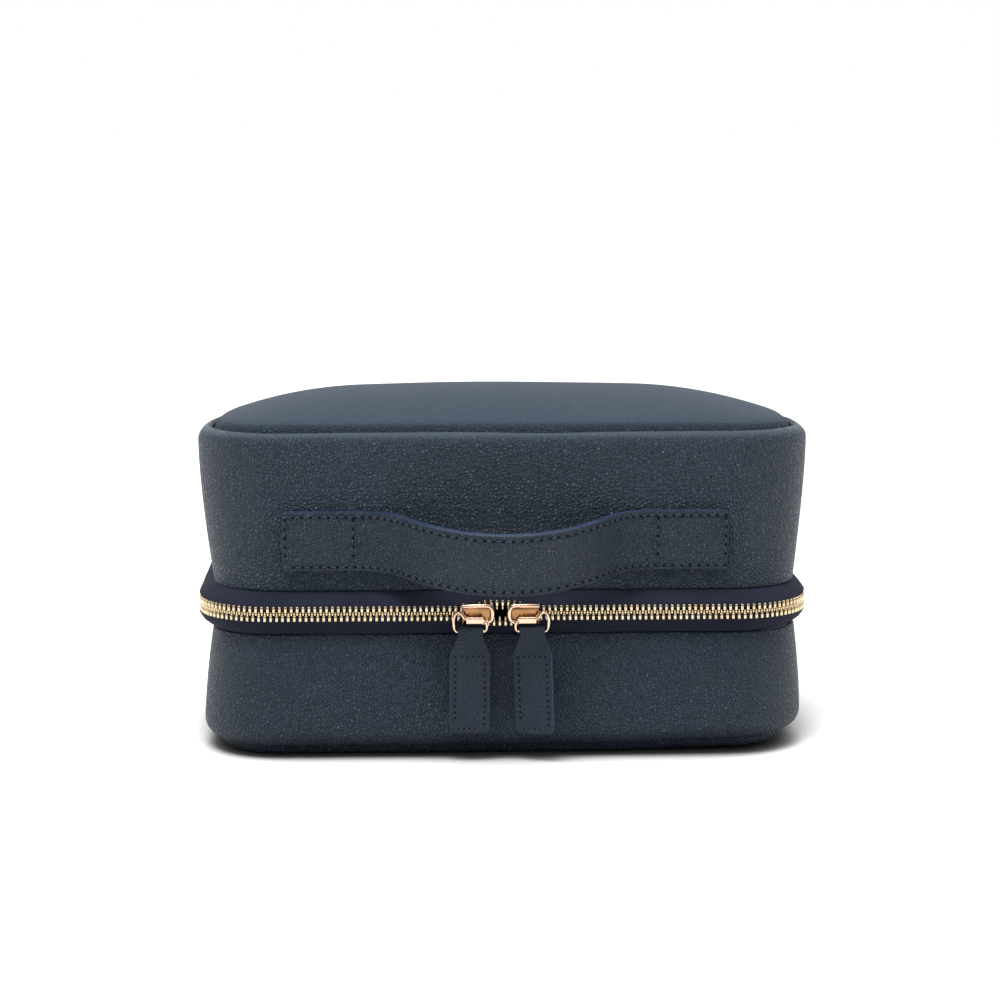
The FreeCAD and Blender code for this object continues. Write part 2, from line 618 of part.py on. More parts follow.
def strap_layer(label, inner, thickness):
    """One leather of the strap: a flat sewn end, a heel bend and a bow, mirrored at the middle."""
    free = "(dims.handle_half - dims.handle_patch)"
    body = new_body(label)
    lean = "atan(dims.waist_inset / %s)" % LID.rise
    drawn_in = "dims.waist_inset * (1 - (dims.handle_height - %s) / %s)" % (LID.waist, LID.rise)
    body.Placement = Placement(Vector(), Rotation(Vector(1, 0, 0), 1))
    body.setExpression("Placement.Base.y", "%s - dims.case_depth / 2" % drawn_in)
    body.setExpression("Placement.Base.z", "dims.handle_height")
    body.setExpression("Placement.Rotation.Angle", lean)
    sketch = body.newObject("Sketcher::SketchObject", label + "_side")
    sketch.AttachmentSupport = [(origin_plane(body, "XY_Plane"), "")]
    sketch.MapMode = "FlatFace"
    sketch.AttachmentOffset = Placement(Vector(), Rotation(Vector(0, 0, 1), 180))
    span, bow, heel = value(free), value("dims.handle_bow"), value("dims.handle_heel")
    near, depth = value(inner), value(thickness)
    end = value("dims.handle_half")
    swing = 2 * math.atan(bow / span)
    crest = span / math.sin(swing) - heel
    heel_centre = Vector(span, heel, 0)
    crest_centre = Vector(0, bow - crest, 0)

    def heel_arc(offset):
        circle = Part.Circle(heel_centre, Vector(0, 0, 1), heel - offset)
        return Part.ArcOfCircle(circle, 1.5 * math.pi - swing, 1.5 * math.pi)

    def crest_arc(offset):
        circle = Part.Circle(crest_centre, Vector(0, 0, 1), crest + offset)
        return Part.ArcOfCircle(circle, math.pi / 2 - swing, math.pi / 2)

    def flat(offset):
        return Part.LineSegment(Vector(end, offset, 0), Vector(span, offset, 0))

    far = near + depth
    for edge in (
        flat(near), heel_arc(near), crest_arc(near),
        Part.LineSegment(Vector(0, bow + near, 0), Vector(0, bow + far, 0)),
        crest_arc(far), heel_arc(far), flat(far),
        Part.LineSegment(Vector(end, near, 0), Vector(end, far, 0)),
    ):
        sketch.addGeometry(edge, False)
    flat_in, heel_in, crest_in, middle, crest_out, heel_out, flat_out, tip = range(8)
    start, finish, centre = 1, 2, 3
    for kind, *where in (
        ("Tangent", flat_in, finish, heel_in, finish),
        ("Tangent", heel_in, start, crest_in, start),
        ("Coincident", crest_in, finish, middle, start),
        ("Coincident", middle, finish, crest_out, finish),
        ("Tangent", crest_out, start, heel_out, start),
        ("Tangent", heel_out, finish, flat_out, finish),
        ("Coincident", flat_out, start, tip, finish),
        ("Coincident", tip, start, flat_in, start),
        ("PointOnObject", crest_in, centre, -2),
        ("PointOnObject", middle, start, -2),
        ("PointOnObject", middle, finish, -2),
        ("Coincident", crest_out, centre, crest_in, centre),
        ("Coincident", heel_out, centre, heel_in, centre),
        ("Vertical", tip),
        ("Horizontal", flat_in),
        ("Horizontal", flat_out),
    ):
        sketch.addConstraint(Sketcher.Constraint(kind, *where))
    measure(sketch, "dims.handle_half", "DistanceX", -1, 1, flat_in, start)
    measure(sketch, free, "DistanceX", -1, 1, flat_in, finish)
    if inner == "0":
        sketch.addConstraint(Sketcher.Constraint("PointOnObject", flat_in, start, -1))
    else:
        measure(sketch, inner, "DistanceY", -1, 1, flat_in, start)
    measure(sketch, thickness, "DistanceY", tip, start, tip, finish)
    measure(sketch, "dims.handle_heel - (%s)" % inner, "Radius", heel_in)
    measure(sketch, "dims.handle_bow + (%s)" % inner, "DistanceY", -1, 1, middle, start)
    pad = body.newObject("PartDesign::Pad", label + "_half")
    pad.Profile = sketch
    pad.SideType = "Symmetric"
    pad.setExpression("Length", "dims.handle_width")
    doc.recompute()
    whole = body.newObject("PartDesign::Mirrored", label + "_whole")
    whole.Originals = [pad]
    whole.MirrorPlane = (origin_plane(body, "YZ_Plane"), [""])
    body.Tip = whole


# The inside of the base and of the lid.


def inside_inset(height):
    """Inset of the lining's inside at a height above the floor of the base."""
    return "(%s + dims.waist_inset * (%s + %s) / %s)" % (TO_INSIDE, TO_INSIDE, height, BASE.rise)


def fitted(label, height):
    """A block that fills the base's inside from the floor up to a height."""
    body = new_body(label)
    top = "(%s + %s)" % (FLOOR, height)
    stack(body, label + "_block", ((FLOOR, inside_inset("0")), (top, inside_inset(height))))
    return body


def keep_between(body, axis, low, high):
    """Cuts away what lies outside low to high along X or Y; None keeps that side."""
    for name, limit in (("low", low), ("high", high)):
        if limit is None:
            continue
        start = ["0 - %s" % OUTER, "0 - %s" % OUTER, "0"]
        end = [OUTER, OUTER, "dims.shoulder_height"]
        (end if name == "low" else start)[axis] = limit
        box(body, "%s_%s_%s" % (body.Label, "xy"[axis], name), start, end, cut=True)


def dividers():
    half = "dims.divider_thickness / 2"
    keep_between(fitted("long_divider", "dims.divider_height"), 1, DIVIDER_FRONT, DIVIDER_BACK)
    front = fitted("front_divider_left", "dims.divider_height")
    keep_between(front, 1, None, DIVIDER_FRONT)
    keep_between(front, 0, "0 - dims.front_spacing - " + half, "0 - dims.front_spacing + " + half)
    mirrored("front_divider_right", front)
    back = fitted("back_divider", "dims.divider_height")
    keep_between(back, 1, DIVIDER_BACK, None)
    keep_between(back, 0, "0 - " + half, half)


def ring_cushion():
    half = "dims.divider_thickness / 2"
    bed = fitted("ring_bed", "dims.bed_height")
    keep_between(bed, 1, DIVIDER_BACK, None)
    keep_between(bed, 0, half, None)
    room = "(dims.case_depth / 2 - %s - %s)" % (inside_inset("dims.divider_height"), DIVIDER_BACK)
    diameter = "((%s - %d * dims.roll_gap) / %d)" % (room, RING_ROLLS + 1, RING_ROLLS)
    start = "(%s + dims.roll_gap)" % half
    length = "(dims.case_width / 2 - dims.corner_radius - %s)" % start
    bed_top = "(%s + dims.bed_height)" % FLOOR
    for number in range(1, RING_ROLLS + 1):
        label = "ring_roll_%d" % number
        body = new_body(label)
        y = "%s + %d * dims.roll_gap + %g * %s" % (DIVIDER_BACK, number, number - 0.5, diameter)
        z = "%s + %s / 2 - dims.roll_flat" % (bed_top, diameter)
        rod(body, label + "_stuffing", ("%s + %s / 2" % (start, length), y, z),
            "%s / 2" % diameter, length)
        round_edges(body, label + "_ends", "dims.roll_round",
                    lambda edge: edge.BoundBox.XLength < SAME_PLACE)
        box(body, label + "_flat", ("0", "0", "0"), (OUTER, OUTER, bed_top), cut=True)


def mirror():
    half_width = "(dims.case_width / 2 - %s - dims.waist_inset - dims.mirror_margin)" % TO_INSIDE
    half_depth = "(dims.case_depth / 2 - %s - dims.waist_inset - dims.mirror_margin)" % TO_INSIDE
    under = "(%s - dims.frame_thickness)" % CEILING
    glass_under = "(%s - dims.glass_thickness)" % CEILING
    opening = "dims.frame_border"
    seat = "(dims.frame_border - dims.frame_lip)"

    def plate(body, name, low, high, inset, cut=False):
        sketches = []
        for step, level in enumerate((low, high)):
            sketch = new_sketch(body, "%s_%d" % (name, step), "XY_Plane", level)
            rounded_rectangle(sketch, "%s - %s" % (half_width, inset),
                              "%s - %s" % (half_depth, inset), "dims.mirror_corner")
            sketches.append(sketch)
        join_sections(body, name, sketches, cut)

    frame = new_body("mirror_frame")
    plate(frame, "frame_block", under, CEILING, "0")
    plate(frame, "frame_opening", under, CEILING, opening, cut=True)
    plate(frame, "frame_seat", glass_under, CEILING, seat, cut=True)
    plate(new_body("mirror_glass"), "glass_plate", glass_under, CEILING, seat)


def build():
    for half in (BASE, LID):
        wall(half)
        board(half)
        lining(half)
    bottom_panel()
    top_panel()
    tape("zip_tape_lower", BASE)
    tape("zip_tape_upper", LID)
    hinge_leaf("hinge_leaf_lower", BASE)
    hinge_leaf("hinge_leaf_upper", LID)
    teeth(BASE, 0.0)
    teeth(LID, 0.5)
    stops(BASE)
    stops(LID)
    mirrored("slider_right", slider(), MEETING_X)
    mirrored("pull_ring_right", pull_ring(), MEETING_X)
    mirrored("pull_tab_right", pull_tab(), MEETING_X)
    strap_layer("handle_backing", "0", "dims.backing_thickness")
    strap_layer("handle_strap", "dims.backing_thickness", "dims.strap_thickness")
    dividers()
    ring_cushion()
    mirror()
    doc.recompute()


def export():
    broken = [item.Name for item in doc.Objects if {"Invalid", "Error"} & set(item.State)]
    for piece in parts:
        shape = piece.Shape
        if shape.isNull() or not shape.isValid() or not shape.Solids:
            broken.append(piece.Label)
    if broken:
        raise RuntimeError("failed: " + ", ".join(broken))
    os.makedirs("parts", exist_ok=True)
    for piece in parts:
        piece.Shape.exportStep("parts/%s.step" % piece.Label)
        print("%-22s %12.1f mm3" % (piece.Label, piece.Shape.Volume))


build()
export()
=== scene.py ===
"""Dresses the leather jewellery case: pebbled leather, a brass zip, rose-gold sliders and a suede inside.

Everything is in metres, in the part's own frame: X right, Y to the hinge and Z up from the table.
"""

import math
from collections import namedtuple

import bmesh
import bpy
from mathutils import Matrix, Vector, noise


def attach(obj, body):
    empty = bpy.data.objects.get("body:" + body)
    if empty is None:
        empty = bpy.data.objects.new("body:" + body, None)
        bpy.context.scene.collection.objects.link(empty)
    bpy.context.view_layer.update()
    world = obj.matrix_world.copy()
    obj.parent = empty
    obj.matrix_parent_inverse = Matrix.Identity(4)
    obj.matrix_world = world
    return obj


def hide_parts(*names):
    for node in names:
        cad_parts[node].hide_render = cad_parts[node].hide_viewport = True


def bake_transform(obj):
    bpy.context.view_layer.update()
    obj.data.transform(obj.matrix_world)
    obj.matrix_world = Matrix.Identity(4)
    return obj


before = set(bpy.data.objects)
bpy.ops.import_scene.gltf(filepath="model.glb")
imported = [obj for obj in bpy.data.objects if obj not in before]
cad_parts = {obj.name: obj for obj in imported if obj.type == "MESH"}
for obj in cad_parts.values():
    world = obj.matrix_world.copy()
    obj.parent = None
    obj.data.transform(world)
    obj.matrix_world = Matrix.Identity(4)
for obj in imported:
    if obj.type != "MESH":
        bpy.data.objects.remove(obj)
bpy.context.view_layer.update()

# Sizes shared with the part.
Outline = namedtuple("Outline", "half_width half_depth corner")
CASE = Outline(0.127, 0.066, 0.032)
MIRROR = Outline(0.0929, 0.0319, 0.0105)
ZIP = 0.0615
REVEAL = 0.0085
SHOULDER = 0.1355
ROLL = 0.006
CROWN = 0.013
LEATHER = 0.0016
TO_LINING = 0.0036
LINING = 0.001
FLOOR = 0.0076
CEILING = 0.1309
ZIP_END = 0.05836
TOOTH_PITCH = 0.0024
CHAIN_TURN = 0.0318
CHAIN_FRONT = 0.067
MEETING_X = -0.002
SLIDER_X = 0.0093
LUG_X = 0.0126
LUG_OUT = 0.0717
LUG_DROP = 0.002
RING_DROP = 0.0046
TAB_LENGTH = 0.0425
STRAP_HEIGHT = 0.0916
STRAP_WIDTH = 0.025
STRAP_THICKNESS = 0.003
STRAP_PATCH = 0.0302
STRAP_FREE = 0.061
STRAP_BOW = 0.028
STRAP_HEEL = 0.028
DIVIDER = 0.003
DIVIDER_TOP = 0.0416
DIVIDER_Y = 0.004
FRONT_DIVIDER_X = 0.041
BED_TOP = 0.0276
ROLL_RADIUS = 0.00637
ROLL_PITCH = 0.01314
ROLL_FIRST_Y = 0.01227

# Softer measures, taken from the photograph.
WAIST = 0.0048
WALL_FULLNESS = 1.7
BASE_EDGE = 0.0097
BASE_ROLL = 0.008
FOOT = 0.0048
FOOT_LIFT = 0.0022
EDGE_RISE = 0.0034
EDGE_WIDTH = 0.0014
PRESSED_GRAIN = 0.17
SEAM_SINK = 0.0012
SIDE_BULGE = 0.0016
SIDE_DRAW = 0.0009
END_TUCK = 0.003
CORNER_SINK = 0.0045
STRAP_DROOP = 0.0025
STRAP_LEAN = math.radians(5.5)
PARTING = 0.0022
PARTED_TO = 0.005
CLOSED_FROM = 0.0145
CORNER_DRAW = 0.012
FOLD_RADIUS = 0.0019
TWIST_CLEARANCE = 0.0045
STITCH_PITCH = 0.0036
STITCH_SLANT = math.radians(4)
STITCH_INSET = 0.002

# How finely meshes are made, and how pieces are turned.
CORNER_SEGMENTS = 14
RING_SPACING = 0.005
TOUCHING = 1e-6
SHARP_BEND = 1.2
STOOD_UP = Matrix.Rotation(math.radians(90), 4, "X")
LAID_ALONG = Matrix.Rotation(math.radians(90), 4, "Y")


# Mesh tools.


def new_verts(geometry):
    return [item for item in geometry if isinstance(item, bmesh.types.BMVert)]


def new_edges(geometry):
    return [item for item in geometry if isinstance(item, bmesh.types.BMEdge)]


def smooth_step(low, high, value):
    share = max(0.0, min(1.0, (value - low) / (high - low)))
    return share * share * (3 - 2 * share)


def outline_point(outline, point, inset, level):
    """The point of an outline, drawn in by an inset, that lies nearest to a point."""
    reach_x = outline.half_width - outline.corner
    reach_y = outline.half_depth - outline.corner
    x = max(-reach_x, min(reach_x, point.x))
    y = max(-reach_y, min(reach_y, point.y))
    outward = Vector((point.x - x, point.y - y, 0)).normalized()
    return Vector((x, y, level)) + outward * (outline.corner - inset)


def outline_inset(outline, point):
    """How far inside an outline a point lies."""
    reach_x = outline.half_width - outline.corner
    reach_y = outline.half_depth - outline.corner
    over = Vector((max(abs(point.x) - reach_x, 0), max(abs(point.y) - reach_y, 0)))
    if over.length:
        return outline.corner - over.length
    return outline.corner + min(reach_x - abs(point.x), reach_y - abs(point.y))


def flat_sheet(bm, half_x, half_y):
    """Adds one flat face and returns its four corners."""
    corners = bmesh.ops.create_grid(bm, x_segments=1, y_segments=1, size=1)["verts"]
    bmesh.ops.scale(bm, vec=(half_x, half_y, 1), verts=corners)
    return corners


def round_corners(bm, corners, radius, segments):
    bmesh.ops.bevel(bm, geom=corners, offset=radius, offset_type="OFFSET", affect="VERTICES",
                    segments=segments, profile=0.5, material=-1)


def round_edges(bm, edges, radius, segments=4):
    bmesh.ops.bevel(bm, geom=edges, offset=radius, offset_type="OFFSET", affect="EDGES",
                    segments=segments, profile=0.5, material=-1)


def sharp_edges(bm):
    return [edge for edge in bm.edges if edge.calc_face_angle(0) > SHARP_BEND]


def outline_ring(bm, outline, inset, level, spacing=RING_SPACING):
    """Starts a mesh with a closed ring of edges on an outline, drawn in by an inset."""
    corners = flat_sheet(bm, outline.half_width, outline.half_depth)
    round_corners(bm, corners, outline.corner, CORNER_SEGMENTS)
    for edge in [edge for edge in bm.edges if edge.calc_length() > 2 * spacing]:
        bmesh.ops.subdivide_edges(bm, edges=[edge], cuts=round(edge.calc_length() / spacing))
    bmesh.ops.delete(bm, geom=bm.faces[:], context="FACES_ONLY")
    for vert in bm.verts:
        vert.co = outline_point(outline, vert.co, inset, level)
    return bm.edges[:]


def sweep(bm, ring, outline, profile):
    """Extrudes a ring through further insets and levels, and returns all its edge rings."""
    rings = [ring]
    for inset, level in profile:
        made = bmesh.ops.extrude_edge_only(bm, edges=rings[-1])["geom"]
        for vert in new_verts(made):
            vert.co = outline_point(outline, vert.co, inset, level)
        rings.append(new_edges(made))
    return rings


def closed_band(outline, profile, spacing=RING_SPACING):
    """A band round an outline whose cross-section is a closed profile of insets and levels."""
    bm = bmesh.new()
    ring = outline_ring(bm, outline, *profile[0], spacing)
    rings = sweep(bm, ring, outline, profile[1:] + profile[:1])
    bmesh.ops.remove_doubles(bm, verts=bm.verts[:], dist=TOUCHING)
    return bm, rings


def filled_band(outline, profile):
    """A block whose side is a profile of insets and levels round an outline, filled at both ends."""
    bm = bmesh.new()
    ring = outline_ring(bm, outline, *profile[0])
    rings = sweep(bm, ring, outline, profile[1:])
    fill(bm, rings[0])
    fill(bm, rings[-1])
    return bm, rings

def fill(bm, ring):
    bmesh.ops.contextual_create(bm, geom=ring)


def cut_away(bm, point, direction):
    """Cuts the mesh at a plane, takes away what lies on the direction's side and caps the cut."""
    everything = bm.verts[:] + bm.edges[:] + bm.faces[:]
    bmesh.ops.bisect_plane(bm, geom=everything, plane_co=point, plane_no=direction, clear_outer=True)
    open_edges = [edge for edge in bm.edges if edge.is_boundary]
    bmesh.ops.holes_fill(bm, edges=open_edges, sides=0)


def block(bm, low, high, radius=0.0, segments=2):
    """Adds a box between two corners, with rounded edges."""
    size = Vector(high) - Vector(low)
    middle = (Vector(high) + Vector(low)) / 2
    matrix = Matrix.Translation(middle) @ Matrix.Diagonal((*size, 1))
    verts = bmesh.ops.create_cube(bm, size=1, matrix=matrix)["verts"]
    if radius:
        edges = list({edge for vert in verts for edge in vert.link_edges})
        round_edges(bm, edges, radius, segments)
    return verts


def paint_edges(bm, radius, below=math.inf):
    """Rounds the cut edges of a leather below a level, and gives them its second finish."""
    flat_face = 0.5
    bmesh.ops.recalc_face_normals(bm, faces=bm.faces[:])
    upright = [face for face in bm.faces if abs(face.normal.y) < flat_face]
    cut = [face for face in upright if face.calc_center_median().z < below]
    for face in cut:
        face.material_index = 1
    rims = {edge for face in cut for edge in face.edges}
    rims = [edge for edge in rims if len({face.material_index for face in edge.link_faces}) == 2]
    round_edges(bm, rims, radius, segments=3)


def ripple(bm, amount, wavelength, seed):
    """Moves the mesh a little in or out, as a hand-made piece is never quite even."""
    bm.normal_update()
    for vert in bm.verts:
        wave = noise.noise(vert.co / wavelength + Vector((seed, seed, seed)))
        vert.co += vert.normal * wave * amount


def keep_mesh(name, bm):
    mesh = bpy.data.meshes.new(name)
    bm.to_mesh(mesh)
    bm.free()
    return mesh


def put_in_scene(name, data):
    made = bpy.data.objects.new(name, data)
    bpy.context.scene.collection.objects.link(made)
    return made


def add_piece(name, bm, finishes, body=None, stands_for=(), sharp=None):
    """Turns a mesh into a piece that rides on a body and stands for CAD nodes."""
    bmesh.ops.recalc_face_normals(bm, faces=bm.faces[:])
    mesh = keep_mesh(name, bm)
    mesh.shade_smooth()
    if sharp:
        mesh.set_sharp_from_angle(angle=math.radians(sharp))
    for finish in finishes:
        mesh.materials.append(finish)
    piece = put_in_scene(name, mesh)
    if body:
        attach(piece, body)
    if stands_for:
        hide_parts(*stands_for)
    return piece


# Material tools.

SOCKET_KINDS = {"Place": "Vector", "Light": "Color", "Dark": "Color", "Color": "Color"}


def add_node(tree, kind, settings=None, **sockets):
    """Adds a shader node; sockets get values or links, with underscores for spaces in their names."""
    made = tree.nodes.new("ShaderNode" + kind)
    for key, setting in (settings or {}).items():
        setattr(made, key, setting)
    for key, source in sockets.items():
        connect(tree, made.inputs[key.replace("_", " ")], source)
    return made


def connect(tree, socket, source):
    if isinstance(source, bpy.types.NodeSocket):
        tree.links.new(source, socket)
    else:
        socket.default_value = source


def calculate(tree, operation, *operands, kind="Math"):
    made = tree.nodes.new("ShaderNode" + kind)
    made.operation = operation
    for socket, source in zip(made.inputs, operands):
        connect(tree, socket, source)
    return made.outputs[0]


def scaled(tree, vector, factor):
    made = tree.nodes.new("ShaderNodeVectorMath")
    made.operation = "SCALE"
    connect(tree, made.inputs[0], vector)
    connect(tree, made.inputs["Scale"], factor)
    return made.outputs[0]


def remap(tree, source, low, high, to_low, to_high):
    made = tree.nodes.new("ShaderNodeMapRange")
    made.interpolation_type = "SMOOTHSTEP"
    for socket, operand in zip(made.inputs, (source, low, high, to_low, to_high)):
        connect(tree, socket, operand)
    return made.outputs[0]


def mix_colors(tree, share, first, second):
    made = tree.nodes.new("ShaderNodeMix")
    made.data_type = "RGBA"
    connect(tree, made.inputs[0], share)
    connect(tree, made.inputs[6], first)
    connect(tree, made.inputs[7], second)
    return made.outputs[2]


def new_group(name, inputs, outputs):
    """A shader node group with named sockets, which hold plain values where SOCKET_KINDS is silent."""
    tree = bpy.data.node_groups.new(name, "ShaderNodeTree")
    for in_out, labels in (("INPUT", inputs), ("OUTPUT", outputs)):
        for label in labels.split():
            kind = "NodeSocket" + SOCKET_KINDS.get(label, "Float")
            tree.interface.new_socket(name=label, in_out=in_out, socket_type=kind)
    return tree, tree.nodes.new("NodeGroupInput").outputs, tree.nodes.new("NodeGroupOutput").inputs


def cloud(tree, place, output="Fac", **sockets):
    return add_node(tree, "TexNoise", Vector=place, **sockets).outputs[output]


def use_group(tree, group, **sockets):
    made = tree.nodes.new("ShaderNodeGroup")
    made.node_tree = group
    for key, source in sockets.items():
        connect(tree, made.inputs[key], source)
    return made.outputs


def new_material(name):
    """A material with its node tree and the object's own coordinates."""
    material = bpy.data.materials.new(name)
    material.use_nodes = True
    tree = material.node_tree
    return material, tree, tree.nodes.new("ShaderNodeTexCoord").outputs["Object"]


def finish_surface(tree, height=None, depth=0.0, strength=1.0, **sockets):
    """Fills the shader's sockets, with underscores for spaces in their names, and raises its relief."""
    shader = tree.nodes["Principled BSDF"].inputs
    for key, source in sockets.items():
        connect(tree, shader[key.replace("_", " ")], source)
    if height is not None:
        bump = add_node(tree, "Bump", Height=height, Distance=depth, Strength=strength)
        tree.links.new(bump.outputs[0], shader["Normal"])


def pebble_grain():
    """Rounded grains with creases between them, for tumbled leather."""
    upright_stretch, bend_reach = (1.0, 1.0, 0.8), (0.95, 0.95, 0.95)
    grain_shoulder, crease_shade_width, pore_depth = 0.34, 0.2, 0.36
    tree, given, out = new_group("pebble_grain", "Place Size", "Height Crease")
    drawn = calculate(tree, "MULTIPLY", given["Place"], upright_stretch, kind="VectorMath")
    cells = scaled(tree, drawn, calculate(tree, "DIVIDE", 1.0, given["Size"]))
    bend = cloud(tree, cells, "Color", Scale=0.7, Detail=1.0)
    pulled = calculate(tree, "MULTIPLY_ADD", bend, bend_reach, cells, kind="VectorMath")
    edges = add_node(tree, "TexVoronoi", {"feature": "DISTANCE_TO_EDGE"}, Vector=pulled, Scale=1.0)
    distance = edges.outputs["Distance"]
    grains = remap(tree, distance, 0.0, grain_shoulder, 0.0, 1.0)
    pores = cloud(tree, cells, Scale=2.4, Detail=3.0)
    connect(tree, out["Height"], calculate(tree, "MULTIPLY_ADD", pores, pore_depth, grains))
    # The crease mask says where the leathers paint shade into their creases.
    connect(tree, out["Crease"], remap(tree, distance, 0.0, crease_shade_width, 1.0, 0.0))
    return tree


def hide_tone():
    """Broad, uneven shading of a dyed hide or cloth."""
    tree, given, out = new_group("hide_tone", "Place Patch Light Dark", "Color Share")
    patches = scaled(tree, given["Place"], calculate(tree, "DIVIDE", 1.0, given["Patch"]))
    uneven = cloud(tree, patches, Scale=1.0, Detail=4.0, Roughness=0.6)
    share = remap(tree, uneven, 0.3, 0.7, 0.0, 1.0)
    connect(tree, out["Color"], mix_colors(tree, share, given["Dark"], given["Light"]))
    connect(tree, out["Share"], share)
    return tree


def twill_weave():
    """Diagonal ribs of a woven tape that runs round the case."""
    zigzag, pick_rate, pick_height = 0.0042, 1.7, 0.35
    tree, given, out = new_group("twill_weave", "Place Rib", "Height Shade")
    axes = add_node(tree, "SeparateXYZ", Vector=given["Place"]).outputs
    along = calculate(tree, "ADD", calculate(tree, "ABSOLUTE", axes["X"]), axes["Y"])
    turn = calculate(tree, "DIVIDE", 2 * math.pi, given["Rib"])
    slope = calculate(tree, "PINGPONG", axes["Z"], zigzag)
    diagonal = calculate(tree, "MULTIPLY", calculate(tree, "ADD", along, slope), turn)
    ribs = calculate(tree, "SINE", diagonal)
    pick_turn = calculate(tree, "MULTIPLY", turn, pick_rate)
    picks = calculate(tree, "SINE", calculate(tree, "MULTIPLY", axes["Z"], pick_turn))
    cloth = calculate(tree, "MULTIPLY_ADD", picks, pick_height, ribs)
    height = remap(tree, cloth, -1.2, 1.2, 0.0, 1.0)
    connect(tree, out["Height"], height)
    connect(tree, out["Shade"], height)
    return tree


def brushed_nap():
    """Short brushed fibres of suede, lying in patches."""
    fibre_share, stroke_share = 0.35, 0.65
    tree, given, out = new_group("brushed_nap", "Place Fibre", "Height Shade")
    place = given["Place"]
    fine = scaled(tree, place, calculate(tree, "DIVIDE", 1.0, given["Fibre"]))
    fibres = cloud(tree, fine, Scale=1.0, Detail=5.0, Roughness=0.75)
    strokes = cloud(tree, place, Scale=60.0, Detail=3.0, Distortion=1.2)
    brushed = remap(tree, strokes, 0.35, 0.65, 0.0, stroke_share)
    connect(tree, out["Height"], fibres)
    connect(tree, out["Shade"], calculate(tree, "MULTIPLY_ADD", fibres, fibre_share, brushed))
    return tree


def handled_metal():
    """Fine rubbing marks and faint tarnish of plated metal."""
    tree, given, out = new_group("handled_metal", "Place Smooth Rubbed", "Roughness Tarnish")
    marks = cloud(tree, given["Place"], Scale=900.0, Detail=3.0)
    connect(tree, out["Roughness"], remap(tree, marks, 0.35, 0.7, given["Smooth"], given["Rubbed"]))
    spots = cloud(tree, given["Place"], Scale=260.0, Detail=2.0)
    connect(tree, out["Tarnish"], remap(tree, spots, 0.45, 0.75, 0.0, 1.0))
    return tree


GRAIN = pebble_grain()
TONE = hide_tone()
TWILL = twill_weave()
NAP = brushed_nap()
METAL = handled_metal()


def leather(name, light, dark, crease, grain_size, grain_depth, smooth, rough, gloss, pressed=None):
    """Dyed pebbled leather, duller in its creases and darkened there with painted shade.

    With a pressed colour, the piece's raised_grain attribute says how much of the grain stands up.
    """
    patch, crease_shade_share = 0.045, 0.85
    material, tree, place = new_material(name)
    grain = use_group(tree, GRAIN, Place=place, Size=grain_size)
    tone = use_group(tree, TONE, Place=place, Patch=patch, Light=(*light, 1), Dark=(*dark, 1))
    # The crease colour is painted shade, laid over the leather's tone in its creases.
    crease_shade_mask = calculate(tree, "MULTIPLY", grain["Crease"], crease_shade_share)
    color = mix_colors(tree, crease_shade_mask, tone["Color"], (*crease, 1))
    height = grain["Height"]
    if pressed:
        raised = add_node(tree, "Attribute", {"attribute_name": "raised_grain"}).outputs["Fac"]
        color = mix_colors(tree, raised, (*pressed, 1), color)
        height = calculate(tree, "MULTIPLY", height, raised)
    dullness = remap(tree, grain["Height"], 0.1, 1.25, rough, smooth)
    finish_surface(tree, height, grain_depth, Base_Color=color, Roughness=dullness,
                   Specular_IOR_Level=gloss)
    return material


def edge_paint():
    light, dark = (0.024, 0.044, 0.095, 1), (0.017, 0.032, 0.07, 1)
    material, tree, place = new_material("edge_paint")
    tone = use_group(tree, TONE, Place=place, Patch=0.006, Light=light, Dark=dark)
    dullness = remap(tree, tone["Share"], 0.0, 1.0, 0.36, 0.48)
    finish_surface(tree, tone["Share"], depth=0.0001, Base_Color=tone["Color"], Roughness=dullness)
    return material


def thread():
    # The hollow colour is painted shade in the grooves between the twisted strands.
    strand_gap_shade, strand = (0.022, 0.033, 0.052, 1), (0.05, 0.067, 0.094, 1)
    twist, strand_pitch = 1.4, 0.0004
    material, tree, place = new_material("thread")
    axes = add_node(tree, "SeparateXYZ", Vector=place).outputs
    spiral = calculate(tree, "ADD", axes["X"], calculate(tree, "MULTIPLY", axes["Z"], twist))
    strands = calculate(tree, "SINE", calculate(tree, "MULTIPLY", spiral, 2 * math.pi / strand_pitch))
    share = remap(tree, strands, -1.0, 1.0, 0.0, 1.0)
    color = mix_colors(tree, share, strand_gap_shade, strand)
    finish_surface(tree, share, depth=0.00006, Base_Color=color, Roughness=0.75)
    return material


def needle_hole_shade():
    # Near-black discs of painted shade, standing for the dark inside the needle holes.
    light, dark = (0.0066, 0.01, 0.017, 1), (0.0036, 0.0056, 0.01, 1)
    material, tree, place = new_material("needle_hole_shade")
    tone = use_group(tree, TONE, Place=place, Patch=0.002, Light=light, Dark=dark)
    finish_surface(tree, Base_Color=tone["Color"], Roughness=0.9, Specular_IOR_Level=0.1)
    return material


def woven_tape():
    light, dark, rib_gap_shade = (0.019, 0.023, 0.046, 1), (0.013, 0.0165, 0.034, 1), (0.006, 0.007, 0.014, 1)
    rib_gap_shade_share = 0.6
    material, tree, place = new_material("woven_tape")
    weave = use_group(tree, TWILL, Place=place, Rib=0.0011)
    tone = use_group(tree, TONE, Place=place, Patch=0.02, Light=light, Dark=dark)
    # Low in the weave the colour is darkened towards the gap colour, as painted shade between the ribs.
    shade = calculate(tree, "MULTIPLY_ADD", weave["Shade"], -rib_gap_shade_share, rib_gap_shade_share)
    color = mix_colors(tree, shade, tone["Color"], rib_gap_shade)
    finish_surface(tree, weave["Height"], depth=0.00018, Base_Color=color, Roughness=0.85,
                   Specular_IOR_Level=0.25)
    return material


